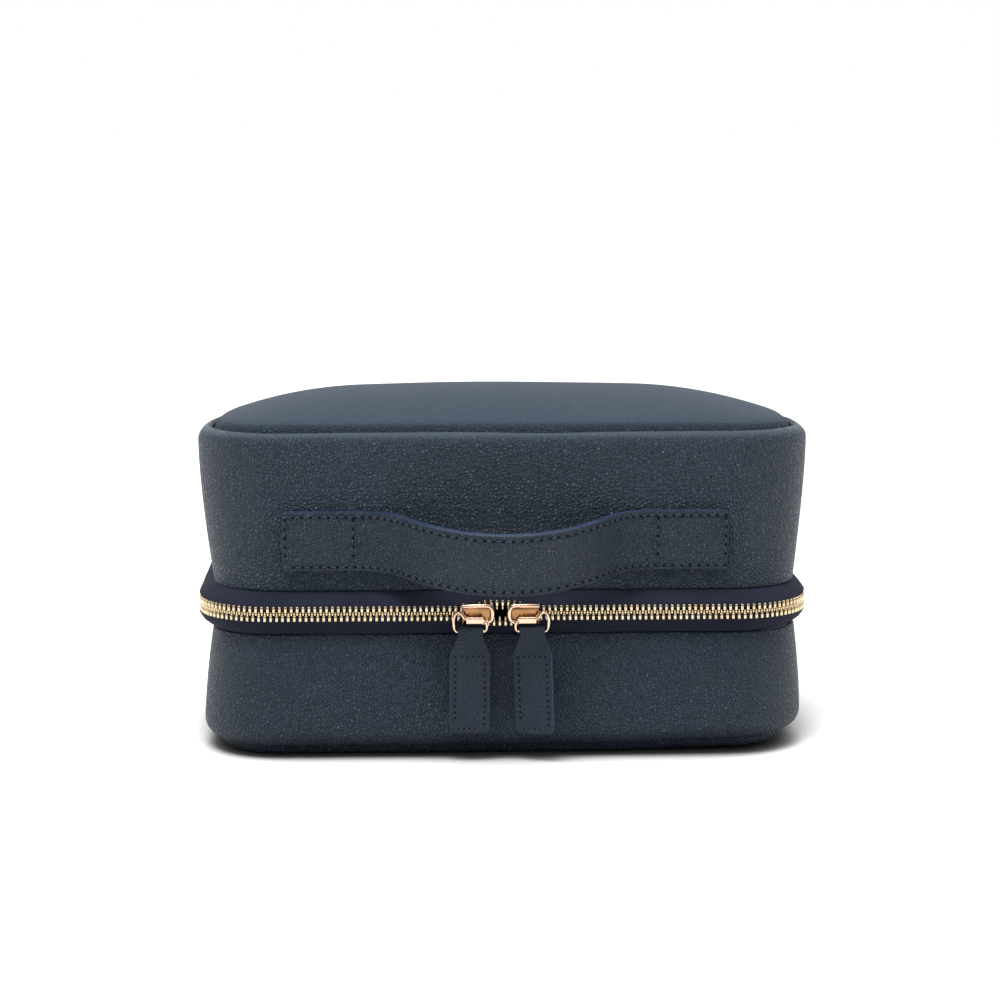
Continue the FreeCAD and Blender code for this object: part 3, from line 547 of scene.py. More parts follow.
def plated(name, color, dull, smooth, rubbed, dull_share=0.5):
    """Bare or silvered metal, a little duller in spots and rougher where it is rubbed."""
    material, tree, place = new_material(name)
    wear = use_group(tree, METAL, Place=place, Smooth=smooth, Rubbed=rubbed)
    share = calculate(tree, "MULTIPLY", wear["Tarnish"], dull_share)
    worn = mix_colors(tree, share, (*color, 1), (*dull, 1))
    finish_surface(tree, Base_Color=worn, Roughness=wear["Roughness"], Metallic=1.0)
    return material


def suede(name, light, dark):
    material, tree, place = new_material(name)
    nap = use_group(tree, NAP, Place=place, Fibre=0.0006)
    color = mix_colors(tree, nap["Shade"], (*dark, 1), (*light, 1))
    finish_surface(tree, nap["Height"], depth=0.0002, strength=0.6, Base_Color=color, Roughness=0.95,
                   Sheen_Weight=0.35, Sheen_Roughness=0.5)
    return material


def greyboard():
    dark, light = (0.4, 0.33, 0.26, 1), (0.56, 0.48, 0.38, 1)
    material, tree, place = new_material("greyboard")
    nap = use_group(tree, NAP, Place=place, Fibre=0.0012)
    color = mix_colors(tree, nap["Shade"], dark, light)
    finish_surface(tree, nap["Height"], depth=0.0001, Base_Color=color, Roughness=0.9)
    return material


# In each leather, the crease colour is painted shade for its creases.
WALL_LEATHER = leather(
    "wall_leather",
    light=(0.0229, 0.0424, 0.0704),
    dark=(0.0187, 0.0362, 0.0608),
    crease=(0.0109, 0.0199, 0.0335),
    pressed=(0.0175, 0.036, 0.0618),
    grain_size=0.0013,
    grain_depth=0.0007,
    smooth=0.34,
    rough=0.58,
    gloss=0.42,
)
# The wall leather painted a little darker, as shade on the case's lower half and its bottom panel.
SHADED_BASE_LEATHER = leather(
    "base_leather",
    light=(0.0217, 0.0396, 0.0662),
    dark=(0.0174, 0.0333, 0.0564),
    crease=(0.0101, 0.0185, 0.0312),
    grain_size=0.0013,
    grain_depth=0.0007,
    smooth=0.36,
    rough=0.58,
    gloss=0.38,
)
TOP_LEATHER = leather(
    "top_leather",
    light=(0.0182, 0.037, 0.0635),
    dark=(0.0143, 0.0297, 0.0522),
    crease=(0.0095, 0.0198, 0.0348),
    pressed=(0.0163, 0.0338, 0.0578),
    grain_size=0.0012,
    grain_depth=0.0007,
    smooth=0.6,
    rough=0.72,
    gloss=0.35,
)
STRAP_LEATHER = leather(
    "strap_leather",
    light=(0.0205, 0.0365, 0.06),
    dark=(0.0168, 0.0312, 0.0518),
    crease=(0.0102, 0.0176, 0.0292),
    grain_size=0.0012,
    grain_depth=0.0006,
    smooth=0.35,
    rough=0.58,
    gloss=0.4,
)
TAB_LEATHER = leather(
    "tab_leather",
    light=(0.0168, 0.0302, 0.0515),
    dark=(0.0132, 0.0245, 0.0422),
    crease=(0.0085, 0.0152, 0.0265),
    grain_size=0.001,
    grain_depth=0.0002,
    smooth=0.42,
    rough=0.6,
    gloss=0.33,
)
EDGE_PAINT = edge_paint()
THREAD = thread()
HOLE_SHADE = needle_hole_shade()
TAPE = woven_tape()
TOOTH_BRASS = plated("tooth_brass", (0.68, 0.56, 0.36), (0.4, 0.31, 0.18), smooth=0.16, rubbed=0.32)
ROSE_GOLD = plated("rose_gold", (0.73, 0.505, 0.372), (0.56, 0.36, 0.255), smooth=0.1, rubbed=0.22)
# The slider plate's metal, painted dark as the shade in the recess inside its rim.
RECESS_SHADE_GOLD = plated("recess_shade_gold", (0.3, 0.16, 0.07), (0.18, 0.09, 0.04), smooth=0.1, rubbed=0.22)
SUEDE = suede("lining_suede", (0.39, 0.4, 0.43), (0.3, 0.31, 0.34))
CUSHION_SUEDE = suede("cushion_suede", (0.42, 0.43, 0.46), (0.33, 0.34, 0.37))
MIRROR_GLASS = plated(
    "silvered_glass", (0.9, 0.915, 0.92), (0.8, 0.83, 0.84), smooth=0.02, rubbed=0.035, dull_share=0.15
)
GREYBOARD = greyboard()


# Leather walls, padded top and bottom panel.


def wall_inset(share, waist=WAIST):
    """Inset of a leather wall, from its edge at the zip to its rolled far edge."""
    return waist * (1 - share) ** WALL_FULLNESS


def lean_side(bm, side, level, shift, far_level, far_shift):
    """Moves one end wall in or out, by different amounts at two levels."""
    across = (0.05, 0.12)
    for vert in bm.verts:
        share = (vert.co.z - level) / (far_level - level)
        weight = smooth_step(*across, side * vert.co.x)
        vert.co.x += side * weight * (shift + (far_shift - shift) * share)


def settle(bm):
    """Lets the lid's back corners sink and draw in a little, as soft walls do."""
    across, deep, high = (0.06, 0.122), (-0.03, 0.05), (ZIP + 0.03, SHOULDER - 0.002)
    for vert in bm.verts:
        share = smooth_step(*across, abs(vert.co.x)) * smooth_step(*deep, vert.co.y)
        share *= smooth_step(*high, vert.co.z)
        vert.co.z -= CORNER_SINK * share
        vert.co.x *= 1 - CORNER_DRAW * share


def lift_foot(bm):
    """Lifts the front right corner of the foot, which stands a little clear of the table."""
    to_right, to_front = (0.02, 0.12), (0.03, -0.03)
    upward, inward = (FOOT, FOOT + 0.03), (0.011, 0.021)
    for vert in bm.verts:
        share = smooth_step(*to_right, vert.co.x) * smooth_step(*to_front, vert.co.y)
        share *= 1 - smooth_step(*upward, vert.co.z)
        share *= 1 - smooth_step(*inward, outline_inset(CASE, vert.co))
        vert.co.z += FOOT_LIFT * share


def leather_wall(edge, far, roll, seed):
    """A leather band with a turned edge at the zip and a soft roll into the panel's seam."""
    rise = far - edge
    under = far - math.copysign(LEATHER, rise)
    shares = (0.0, 0.03, 0.1, 0.2, 0.3, 0.4, 0.5, 0.6, 0.7, 0.8, 1.0)
    roll_flat, seam_edge, turned_edge = 0.0004, 0.0013, 0.0007
    outside = [(wall_inset(share), edge + rise * share) for share in shares]
    inside = [(wall_inset(share) + LEATHER, edge + rise * share) for share in (0.75, 0.5, 0.25, 0.0)]
    profile = inside[1:] + outside + [(roll, far), (roll, under), (LEATHER + roll / 4, under), inside[0]]
    bm, rings = closed_band(CASE, profile)
    edge_ring = len(inside) - 2
    corner_ring = edge_ring + len(shares)
    round_edges(bm, rings[corner_ring], roll - roll_flat, segments=8)
    round_edges(bm, rings[corner_ring + 1], seam_edge, segments=4)
    round_edges(bm, rings[edge_ring] + rings[edge_ring + 1], turned_edge, segments=3)
    ripple(bm, amount=0.00035, wavelength=0.045, seed=seed)
    return bm


def shape_lid(bm):
    lean_side(bm, side=-1, level=ZIP + REVEAL, shift=-0.0012, far_level=SHOULDER, far_shift=0.0)
    settle(bm)


def shape_base(bm):
    lean_side(bm, side=1, level=ZIP - REVEAL, shift=0.0008, far_level=FOOT, far_shift=-0.001)
    lean_side(bm, side=-1, level=ZIP - REVEAL, shift=-0.0004, far_level=FOOT, far_shift=-0.0009)


SHAPING = {"lid": shape_lid, "base": shape_base}


def lid_leather():
    crest = (SHOULDER - 0.0026, SHOULDER - 0.0008)
    bm = leather_wall(ZIP + REVEAL, SHOULDER, ROLL, seed=1.0)
    raised = bm.verts.layers.float.new("raised_grain")
    for vert in bm.verts:
        vert[raised] = 1 - (1 - PRESSED_GRAIN) * smooth_step(*crest, vert.co.z)
    shape_lid(bm)
    add_piece("lid_leather", bm, [WALL_LEATHER], "lid", ["lid_wall"])


def base_leather():
    bm = leather_wall(ZIP - BASE_EDGE, FOOT, BASE_ROLL, seed=4.0)
    shape_base(bm)
    lift_foot(bm)
    # The base takes the darker leather, painted as shade.
    add_piece("base_leather", bm, [SHADED_BASE_LEATHER], "base", ["base_wall"])


def inflate(piece, held, pressure, frames):
    """Blows a sewn cover up as cloth, held where it is sewn down, and keeps the shape in its mesh."""
    scene = bpy.context.scene
    group = piece.vertex_groups.new(name="sewn_down")
    group.add(held, 1.0, "REPLACE")
    modifier = piece.modifiers.new("cover", "CLOTH")
    cover = modifier.settings
    cover.vertex_group_mass = group.name
    cover.use_pressure = True
    cover.uniform_pressure_force = pressure
    cover.effector_weights.gravity = 0
    cover.quality = 5
    cover.air_damping = 5
    modifier.collision_settings.use_collision = False
    modifier.point_cache.frame_end = frames
    for number in range(1, frames + 1):
        scene.frame_set(number)
    shaped = bmesh.new()
    shaped.from_object(piece, bpy.context.evaluated_depsgraph_get())
    piece.modifiers.remove(modifier)
    shaped.to_mesh(piece.data)
    shaped.free()
    scene.frame_set(1)


def flat_cover(seam, level):
    """The top panel before it is filled, its edge turned in under the roll, and the corners sewn down."""
    slack = 0.0011
    turned_in = ((-0.0005, -0.0005), (-0.0005, -0.0011), (0.0004, -0.0017), (0.015, -0.0014))
    bm = bmesh.new()
    bmesh.ops.create_grid(bm, x_segments=60, y_segments=30, size=1)
    bmesh.ops.scale(bm, vec=(CASE.half_width - seam, CASE.half_depth - seam, 1), verts=bm.verts[:])
    beyond = [vert for vert in bm.verts if outline_inset(CASE, vert.co) < seam - slack]
    bmesh.ops.delete(bm, geom=beyond, context="VERTS")
    edge = [edge for edge in bm.edges if edge.is_boundary]
    rim = {vert for line in edge for vert in line.verts}
    for vert in bm.verts:
        vert.co.z = level
        if vert in rim:
            vert.co = outline_point(CASE, vert.co, seam, level)
    sweep(bm, edge, CASE, [(seam + inset, level + rise) for inset, rise in turned_in])
    bm.verts.index_update()
    sewn = [vert.index for vert in bm.verts if vert in rim or vert.co.z < level - TOUCHING]
    return bm, sewn


def raise_crown(bm, seam, level):
    """Brings a blown-up cover to its crown, with a steep edge at the seam and its grain pressed flat."""
    flattened, plain_reach, below_seam = (0.001, 0.0045), 0.055, 0.0003
    blown = max(vert.co.z for vert in bm.verts) - level
    raised = bm.verts.layers.float.new("raised_grain")
    for vert in bm.verts:
        inward = outline_inset(CASE, vert.co) - seam
        vert[raised] = 1 - (1 - PRESSED_GRAIN) * smooth_step(*flattened, inward)
        if vert.co.z > level - below_seam and inward > 0:
            share = (vert.co.z - level) / blown
            edge_share = 1 - math.exp(-inward / EDGE_WIDTH)
            vert.co.z = level + (CROWN + SEAM_SINK - EDGE_RISE) * share + EDGE_RISE * edge_share


def padded_top():
    """The crowned top panel, sewn into the groove inside the lid's rolled edge and blown up as cloth."""
    seam = ROLL + 0.0006
    level = SHOULDER - SEAM_SINK
    bm, sewn = flat_cover(seam, level)
    top = add_piece("padded_top", bm, [TOP_LEATHER], "lid", ["lid_top_panel", "lid_top_foam"])
    inflate(top, sewn, pressure=2.0, frames=25)
    smooth = top.modifiers.new("smooth", "SUBSURF")
    smooth.levels = 2
    bm = bmesh.new()
    bm.from_object(top, bpy.context.evaluated_depsgraph_get())
    top.modifiers.remove(smooth)
    raise_crown(bm, seam, level)
    ripple(bm, amount=0.00025, wavelength=0.05, seed=7.0)
    settle(bm)
    fill(bm, [edge for edge in bm.edges if edge.is_boundary])
    bmesh.ops.recalc_face_normals(bm, faces=bm.faces[:])
    bm.to_mesh(top.data)
    bm.free()
    top.data.shade_smooth()


def bottom_panel():
    """The bottom panel, flat on the table with a rounded edge below its seam."""
    section = ((0.0015, FOOT - 0.0012), (0.0003, FOOT + 0.0008), (-0.0001, FOOT - 0.0005),
               (0.0001, FOOT - 0.0017), (0.0008, FOOT - 0.003), (0.0021, 0.0006),
               (0.004, 0.0), (0.014, 0.0))
    bm = filled_band(CASE, [(BASE_ROLL + inset, level) for inset, level in section])[0]
    lift_foot(bm)
    nodes = ["base_bottom_panel", "base_pad"]
    # The bottom panel takes the darker leather, painted as shade.
    panel = add_piece("bottom_panel", bm, [SHADED_BASE_LEATHER], "base", nodes)


def stiffener(name, body, node, edge, far):
    """The board behind a leather wall."""
    shares = (0.14, 0.34, 0.55, 0.76)
    board, clearance = 0.0018, 0.0001
    outside = [(wall_inset(share) + LEATHER + clearance, edge + (far - edge) * share) for share in shares]
    inside = [(inset + board, level) for inset, level in reversed(outside)]
    bm = closed_band(CASE, outside + inside)[0]
    SHAPING[body](bm)
    add_piece(name, bm, [GREYBOARD], body, [node], sharp=40)


# The zip.


Bar = namedtuple("Bar", "width depth low high")
TOOTH_CLAMP = Bar(0.00108, 0.0024, 0.0006, 0.0031)
TOOTH_HEAD = Bar(0.00074, 0.0016, -0.0007, 0.0008)
END_STOP = Bar(0.0024, 0.0025, 0.0003, 0.0031)
FRONT_RUN = CASE.half_width - CASE.corner
SIDE_RUN = 2 * (CASE.half_depth - CASE.corner)
CHAIN_HALF = FRONT_RUN + SIDE_RUN + CHAIN_TURN * (math.pi / 2 + math.radians(50))


def parting(x):
    """How far each row of the chain stands off its middle, which is open between the sliders."""
    return PARTING * (1 - smooth_step(PARTED_TO, CLOSED_FROM, abs(x - MEETING_X)))


def draw_side(point, rise):
    """Draws the zip in on the end walls, where the tape swells round its teeth, and tucks its ends in."""
    swell_from, swell_to, held_from = (0.0024, 0.0042), (0.006, 0.0088), (0.005, 0.0088)
    side_from, side_to = (-0.055, -0.032), (0.04, 0.056)
    on_side = smooth_step(*side_from, point.y) * (1 - smooth_step(*side_to, point.y))
    swell = smooth_step(*swell_from, rise) * (1 - smooth_step(*swell_to, rise))
    outward = outline_point(CASE, point, -1.0, point.z) - outline_point(CASE, point, 0.0, point.z)
    drawn = SIDE_DRAW * on_side + END_TUCK * smooth_step(side_to[0], ZIP_END, point.y)
    drawn *= 1 - smooth_step(*held_from, rise)
    return point + outward * (SIDE_BULGE * swell * on_side - drawn)


def zip_tape(name, body, node, up, spare):
    """A woven tape that bulges out from under the leather edge to its teeth, with spare width let out."""
    across = ((0.0066, 0.0118), (0.0064, 0.0087), (0.0051, 0.0081), (0.0036, 0.0073), (0.0021, 0.0062),
              (0.0009, 0.005), (0.0002, 0.004), (-0.0003, 0.003), (-0.0003, 0.0014))
    toothed_edge = across[-1][1]
    let_out, parted_to = (0.003, 0.0085), 0.008
    thickness, slant = 0.0009, 0.0002
    rises = [rise + spare * smooth_step(*let_out, rise) for inset, rise in across]
    outside = [(place[0], ZIP + up * rise) for place, rise in zip(across, rises)]
    inside = [(inset + thickness, level - up * slant) for inset, level in reversed(outside)]
    inside[0] = (inside[0][0], ZIP + up * toothed_edge)
    bm, rings = closed_band(CASE, outside + inside, spacing=0.0025)
    round_edges(bm, rings[len(across) - 1], radius=0.0003, segments=2)
    for vert in bm.verts:
        rise = abs(vert.co.z - ZIP)
        vert.co = draw_side(vert.co, rise)
        if vert.co.y < 0:
            vert.co.z += up * parting(vert.co.x) * (1 - smooth_step(toothed_edge, parted_to, rise))
    cut_away(bm, (0, ZIP_END, 0), (0, 1, 0))
    ripple(bm, amount=0.0002, wavelength=0.02, seed=3.0 + up)
    add_piece(name, bm, [TAPE], body, [node])


def chain_place(along):
    """Point and heading of the chain at a distance from the middle of the front, right positive."""
    quarter = CHAIN_TURN * math.pi / 2
    distance = abs(along)
    past_corner = max(distance - FRONT_RUN - quarter, 0.0)
    first_turn = min(max(distance - FRONT_RUN, 0.0), quarter) / CHAIN_TURN
    second_turn = max(past_corner - SIDE_RUN, 0.0) / CHAIN_TURN
    x = min(distance, FRONT_RUN) + CHAIN_TURN * (math.sin(first_turn) + math.cos(second_turn) - 1)
    y = min(past_corner, SIDE_RUN) - SIDE_RUN / 2
    y -= CHAIN_TURN * (math.cos(first_turn) - math.sin(second_turn))
    return math.copysign(x, along), y, math.copysign(first_turn + second_turn, along)


def chain_frame(along, up):
    x, y, heading = chain_place(along)
    lift = parting(x) if y < 0 else 0.0
    place = draw_side(Vector((x, y, ZIP + up * lift)), 0.0)
    return Matrix.Translation(place) @ Matrix.Rotation(heading, 4, "Z") @ Matrix.Diagonal((1, 1, up, 1))


def metal_bar(bm, placing, bar):
    middle = Matrix.Translation((0, 0, (bar.low + bar.high) / 2))
    size = Matrix.Diagonal((bar.width, bar.depth, bar.high - bar.low, 1))
    bmesh.ops.create_cube(bm, size=1, matrix=placing @ middle @ size)


def zip_teeth(name, body, nodes, up, stagger):
    """One row of teeth and its end stops; a tooth is a clamped bar with a narrower head that locks."""
    last = CHAIN_HALF - 0.0058
    stop = CHAIN_HALF - 0.0022
    bm = bmesh.new()
    count = int(last / TOOTH_PITCH)
    for number in range(-count, count + 1):
        along = (number + stagger) * TOOTH_PITCH
        if abs(along) > last:
            continue
        placing = chain_frame(along, up)
        metal_bar(bm, placing, TOOTH_CLAMP)
        metal_bar(bm, placing, TOOTH_HEAD)
    for along in (-stop, stop):
        metal_bar(bm, chain_frame(along, up), END_STOP)
    round_edges(bm, bm.edges[:], radius=0.00014, segments=1)
    add_piece(name, bm, [TOOTH_BRASS], body, nodes, sharp=50)


# Sliders, rings and pulls.


def slider_frame(side):
    """Slider axes: X to its nose, Y away from the case, Z up, from the middle of the chain."""
    middle = MEETING_X + side * SLIDER_X
    return Matrix(((-side, 0, 0, middle), (0, -1, 0, 0), (0, 0, 1, ZIP), (0, 0, 0, 1)))


def wire(bm, points, radius, closed):
    """Adds a round wire, bent smoothly along points."""
    curve = bpy.data.curves.new("wire", "CURVE")
    curve.dimensions = "3D"
    curve.bevel_depth = radius
    curve.bevel_resolution = 4
    curve.resolution_u = 8
    curve.use_fill_caps = True
    line = curve.splines.new("NURBS")
    line.points.add(len(points) - 1)
    for point, place in zip(line.points, points):
        point.co = (*place, 1)
    line.order_u = 3
    line.use_cyclic_u = closed
    line.use_endpoint_u = not closed
    carrier = bpy.data.objects.new("wire", curve)
    mesh = bpy.data.meshes.new_from_object(carrier)
    bm.from_mesh(mesh)
    bpy.data.objects.remove(carrier)
    bpy.data.curves.remove(curve)
    bpy.data.meshes.remove(mesh)
    bmesh.ops.remove_doubles(bm, verts=bm.verts[:], dist=TOUCHING)


def front_plate(bm, half_length, half_height, back, face):
    """A slider's front plate, round at its nose, in a metal painted dark as the shade in the recess inside
    its rim.
    """
    nose_radius, tail_radius, segments = 0.0039, 0.0012, 10
    corners = flat_sheet(bm, half_length, half_height)
    nose = [vert for vert in corners if vert.co.x > 0]
    tail = [vert for vert in corners if vert.co.x < 0]
    round_corners(bm, nose, nose_radius, segments)
    round_corners(bm, tail, tail_radius, segments)
    bmesh.ops.transform(bm, matrix=Matrix.Translation((0, face, 0)) @ STOOD_UP, verts=bm.verts[:])
    sides = bmesh.ops.extrude_face_region(bm, geom=bm.faces[:])["geom"]
    bmesh.ops.translate(bm, vec=(0, back - face, 0), verts=new_verts(sides))
    round_edges(bm, sharp_edges(bm), radius=0.0003, segments=2)
    # The plate takes the second finish, its metal painted dark as shade.
    for part in bm.faces:
        part.material_index = 1


def slider(name, body, node, side):
    """A cast slider: a front plate with a raised rim round its nose, a bridge, a post and a back plate."""
    half_length, half_height, back_half_height = 0.0065, 0.0042, 0.0031
    back = CHAIN_FRONT + 0.0003
    face = back + 0.0011
    inner = CHAIN_FRONT - 0.0027
    rim_out, rim_radius = 0.0004, 0.00095
    rim = ((-0.0063, 0.0031), (-0.003, 0.0034), (0.002, 0.0034), (0.0048, 0.0033), (0.0058, 0.0014),
           (0.0058, -0.0016), (0.0046, -0.0034), (0.0022, -0.0037))
    rail_run, rail_deep = (-0.0064, -0.0043), (-0.0008, 0.0006)
    rails = ((-0.0043, -0.0035), (0.0035, 0.0043))
    post_run, post_half_width = (0.001, 0.005), 0.0002
    bm = bmesh.new()
    front_plate(bm, half_length, half_height, back, face)
    wire(bm, [(x, face + rim_out, z) for x, z in rim], rim_radius, closed=False)
    for low, high in rails:
        start = (rail_run[0], back + rail_deep[0], low)
        block(bm, start, (rail_run[1], back + rail_deep[1], high), radius=0.0002)
    back_start = (-half_length, inner - 0.0012, -back_half_height)
    block(bm, back_start, (half_length, inner, back_half_height), radius=0.0004)
    post_start = (post_run[0], inner - 0.0006, -post_half_width)
    block(bm, post_start, (post_run[1], back + 0.0004, post_half_width))
    bridge(bm, face, SLIDER_X - LUG_X)
    bmesh.ops.transform(bm, matrix=slider_frame(side), verts=bm.verts[:])
    add_piece(name, bm, [ROSE_GOLD, RECESS_SHADE_GOLD], body, [node], sharp=35)


def bridge(bm, face, middle):
    """The bar that holds the ring: a rounded bar with a bore along the chain, on a neck."""
    half_height, half_depth, rounding = 0.0015, 0.0014, 0.0008
    length, overhang, bore_radius = 0.007, 0.0016, 0.00085
    started = set(bm.verts)
    outer = flat_sheet(bm, half_height, half_depth)
    round_corners(bm, outer, rounding, segments=5)
    section = [part for part in bm.faces if all(vert not in started for vert in part.verts)]
    loop = list({edge for part in section for edge in part.edges})
    bmesh.ops.delete(bm, geom=section, context="FACES_ONLY")
    bore = bmesh.ops.create_circle(bm, segments=24, radius=bore_radius, cap_ends=False)["verts"]
    bore_edges = list({edge for vert in bore for edge in vert.link_edges})
    ends = bmesh.ops.bridge_loops(bm, edges=loop + bore_edges)["faces"]
    drawn = bmesh.ops.extrude_face_region(bm, geom=ends)["geom"]
    bmesh.ops.translate(bm, vec=(0, 0, length), verts=new_verts(drawn))
    fresh = [vert for vert in bm.verts if vert not in started]
    placing = Matrix.Translation((middle - overhang, LUG_OUT, -LUG_DROP)) @ LAID_ALONG
    bmesh.ops.transform(bm, matrix=placing, verts=fresh)
    neck_low = (middle - 0.0008, face - 0.0004, -LUG_DROP + 0.0002)
    neck_high = (middle + 0.0046, LUG_OUT - 0.0007, -LUG_DROP + 0.0013)
    block(bm, neck_low, neck_high, radius=0.0002)


def pull_ring(name, body, node, side):
    """A bent wire loop from the slider's bridge into the fold of the leather pull."""
    loop = ((0.0024, 0.0002), (0.0034, 0.0026), (0.0056, 0.0034), (0.0069, 0.001), (0.0068, -0.0028),
            (0.0058, -0.0048), (0.0044, -RING_DROP), (-0.0044, -RING_DROP), (-0.0064, -0.0046),
            (-0.0069, -0.0022), (-0.006, 0.0), (-0.0038, 0.0))
    middle = MEETING_X + side * LUG_X
    points = [(middle + side * x, -LUG_OUT, ZIP - LUG_DROP + z) for x, z in loop]
    bm = bmesh.new()
    wire(bm, points, radius=0.00058, closed=True)
    add_piece(name, bm, [ROSE_GOLD], body, [node])


def one_stitch():
    """A mesh of one stitch of unit length: a short rounded thread and, at its end, a dark disc of painted
    shade for its needle hole.
    """
    sewn = Matrix.Diagonal((0.36, 0.00024, 0.00032, 1))
    # The disc at the stitch's end is painted shade for its needle hole.
    hole_shade_disc = Matrix.Translation((0.5, -0.00006, 0)) @ Matrix.Diagonal((0.2, 0.0002, 0.00048, 1))
    bm = bmesh.new()
    bmesh.ops.create_uvsphere(bm, u_segments=8, v_segments=5, radius=1, matrix=sewn)
    thread_faces = set(bm.faces)
    bmesh.ops.create_uvsphere(bm, u_segments=8, v_segments=5, radius=1, matrix=hole_shade_disc)
    for face in bm.faces:
        face.material_index = 0 if face in thread_faces else 1
    return keep_mesh("one_stitch", bm)


STITCH = one_stitch()


def stitch_row(bm, start, end, out, pitch=STITCH_PITCH):
    """A straight row of stitches on a flat face, from start to end, each an X and a Z."""
    run = Vector((end[0] - start[0], 0, end[1] - start[1]))
    count = max(1, round(run.length / pitch))
    heading = math.atan2(-run.z, run.x) + STITCH_SLANT
    for number in range(count):
        middle = Vector((start[0], out, start[1])) + run * ((number + 0.5) / count)
        stretched = Matrix.Diagonal((run.length / count, 1, pitch / STITCH_PITCH, 1))
        sewn = STITCH.copy()
        sewn.transform(Matrix.Translation(middle) @ Matrix.Rotation(heading, 4, "Y") @ stretched)
        bm.from_mesh(sewn)
        bpy.data.meshes.remove(sewn)


def tab_half_width(drop):
    """Half width of a pull at a distance below its ring: a neck, shoulders and a rounded foot."""
    neck, spread, shoulders, foot_radius = 0.0052, 0.0031, (0.001, 0.011), 0.003
    half = neck + spread * smooth_step(*shoulders, drop)
    foot = TAB_LENGTH - drop
    if foot < foot_radius:
        half -= foot_radius - math.sqrt(max(0.0, foot_radius ** 2 - (foot_radius - foot) ** 2))
    return half


def tab_half_depth(drop):
    """Half thickness of a pull: round the ring at its fold, then two leathers and their filler."""
    leathers, fold_end = 0.0013, -0.0005
    fold = math.sqrt(max(0.0, FOLD_RADIUS ** 2 - drop ** 2))
    return max(fold, leathers * smooth_step(-FOLD_RADIUS, fold_end, drop))


def hang(bm, side, twist, lean):
    """Hangs a pull's mesh from its ring, turning more the lower it gets."""
    turning = (0.001, 0.013)
    for vert in bm.verts:
        turn = twist * smooth_step(*turning, -vert.co.z)
        vert.co.rotate(Matrix.Rotation(turn, 3, "Z"))
        vert.co.y -= TWIST_CLEARANCE * abs(turn)
    ring_bar = Matrix.Translation((MEETING_X + side * LUG_X, -LUG_OUT, ZIP - LUG_DROP - RING_DROP))
    bmesh.ops.transform(bm, matrix=ring_bar @ Matrix.Rotation(lean, 4, "Y"), verts=bm.verts[:])


def folded_tab(drops):
    """A pull's leather, flat and hanging straight: rows of points at each drop, given their thickness."""
    bm = bmesh.new()
    row = [bm.verts.new((x, 0, -drops[0])) for x in (-1, 1)]
    bmesh.ops.subdivide_edges(bm, edges=[bm.edges.new(row)], cuts=13)
    edge = bm.edges[:]
    for drop in drops[1:]:
        made = bmesh.ops.extrude_edge_only(bm, edges=edge)["geom"]
        for vert in new_verts(made):
            vert.co.z = -drop
        edge = new_edges(made)
    for vert in bm.verts:
        vert.co.x *= tab_half_width(-vert.co.z)
    made = bmesh.ops.extrude_face_region(bm, geom=bm.faces[:])["geom"]
    for vert in bm.verts:
        vert.co.y = -tab_half_depth(-vert.co.z)
    for vert in new_verts(made):
        vert.co.y = -vert.co.y
    return bm


def pull(name, body, node, side, twist, lean):
    """A leather pull, folded over its ring, with painted edges and stitching."""
    drops = [-FOLD_RADIUS, -0.0017, -0.0012, -0.0005, 0.0005, 0.0015, 0.0025]
    drops += [0.004 + 0.0015 * step for step in range(24)]
    drops += [TAB_LENGTH - foot for foot in (0.003, 0.0021, 0.0013, 0.0007, 0.0003, 0.0)]
    painted_below, groove_below = -0.001, -0.0095
    groove_inset, groove_reach, groove_depth = 0.0018, 0.0007, 0.00015
    bm = folded_tab(drops)
    paint_edges(bm, radius=0.00045, below=painted_below)
    for vert in bm.verts:
        off_groove = abs(tab_half_width(-vert.co.z) - abs(vert.co.x) - groove_inset)
        if vert.co.z < groove_below and off_groove < groove_reach and vert.co.y < 0:
            vert.co.y += groove_depth
    hang(bm, side, twist, lean)
    add_piece(name, bm, [TAB_LEATHER, EDGE_PAINT], body, [node])
    sewing = pull_stitching()
    hang(sewing, side, twist, lean)
    add_piece(name + "_stitching", sewing, [THREAD, HOLE_SHADE], body)


def pull_stitching():
    """A sewn border on the front of a pull that hangs straight."""
    half, top, foot, out = 0.0061, -0.01, -0.0403, -0.00128
    short_pitch, long_pitch = 0.0022, 0.0026
    top_gap, foot_gap, foot_rise = 0.0006, 0.0016, 0.0018
    bm = bmesh.new()
    stitch_row(bm, (top_gap - half, top), (half - top_gap, top), out, short_pitch)
    stitch_row(bm, (half, top - top_gap), (half, foot + foot_rise), out, long_pitch)
    stitch_row(bm, (half - foot_gap, foot), (foot_gap - half, foot), out, short_pitch)
    stitch_row(bm, (-half, foot + foot_rise), (-half, top - top_gap), out, long_pitch)
    return bm


# The carrying strap.


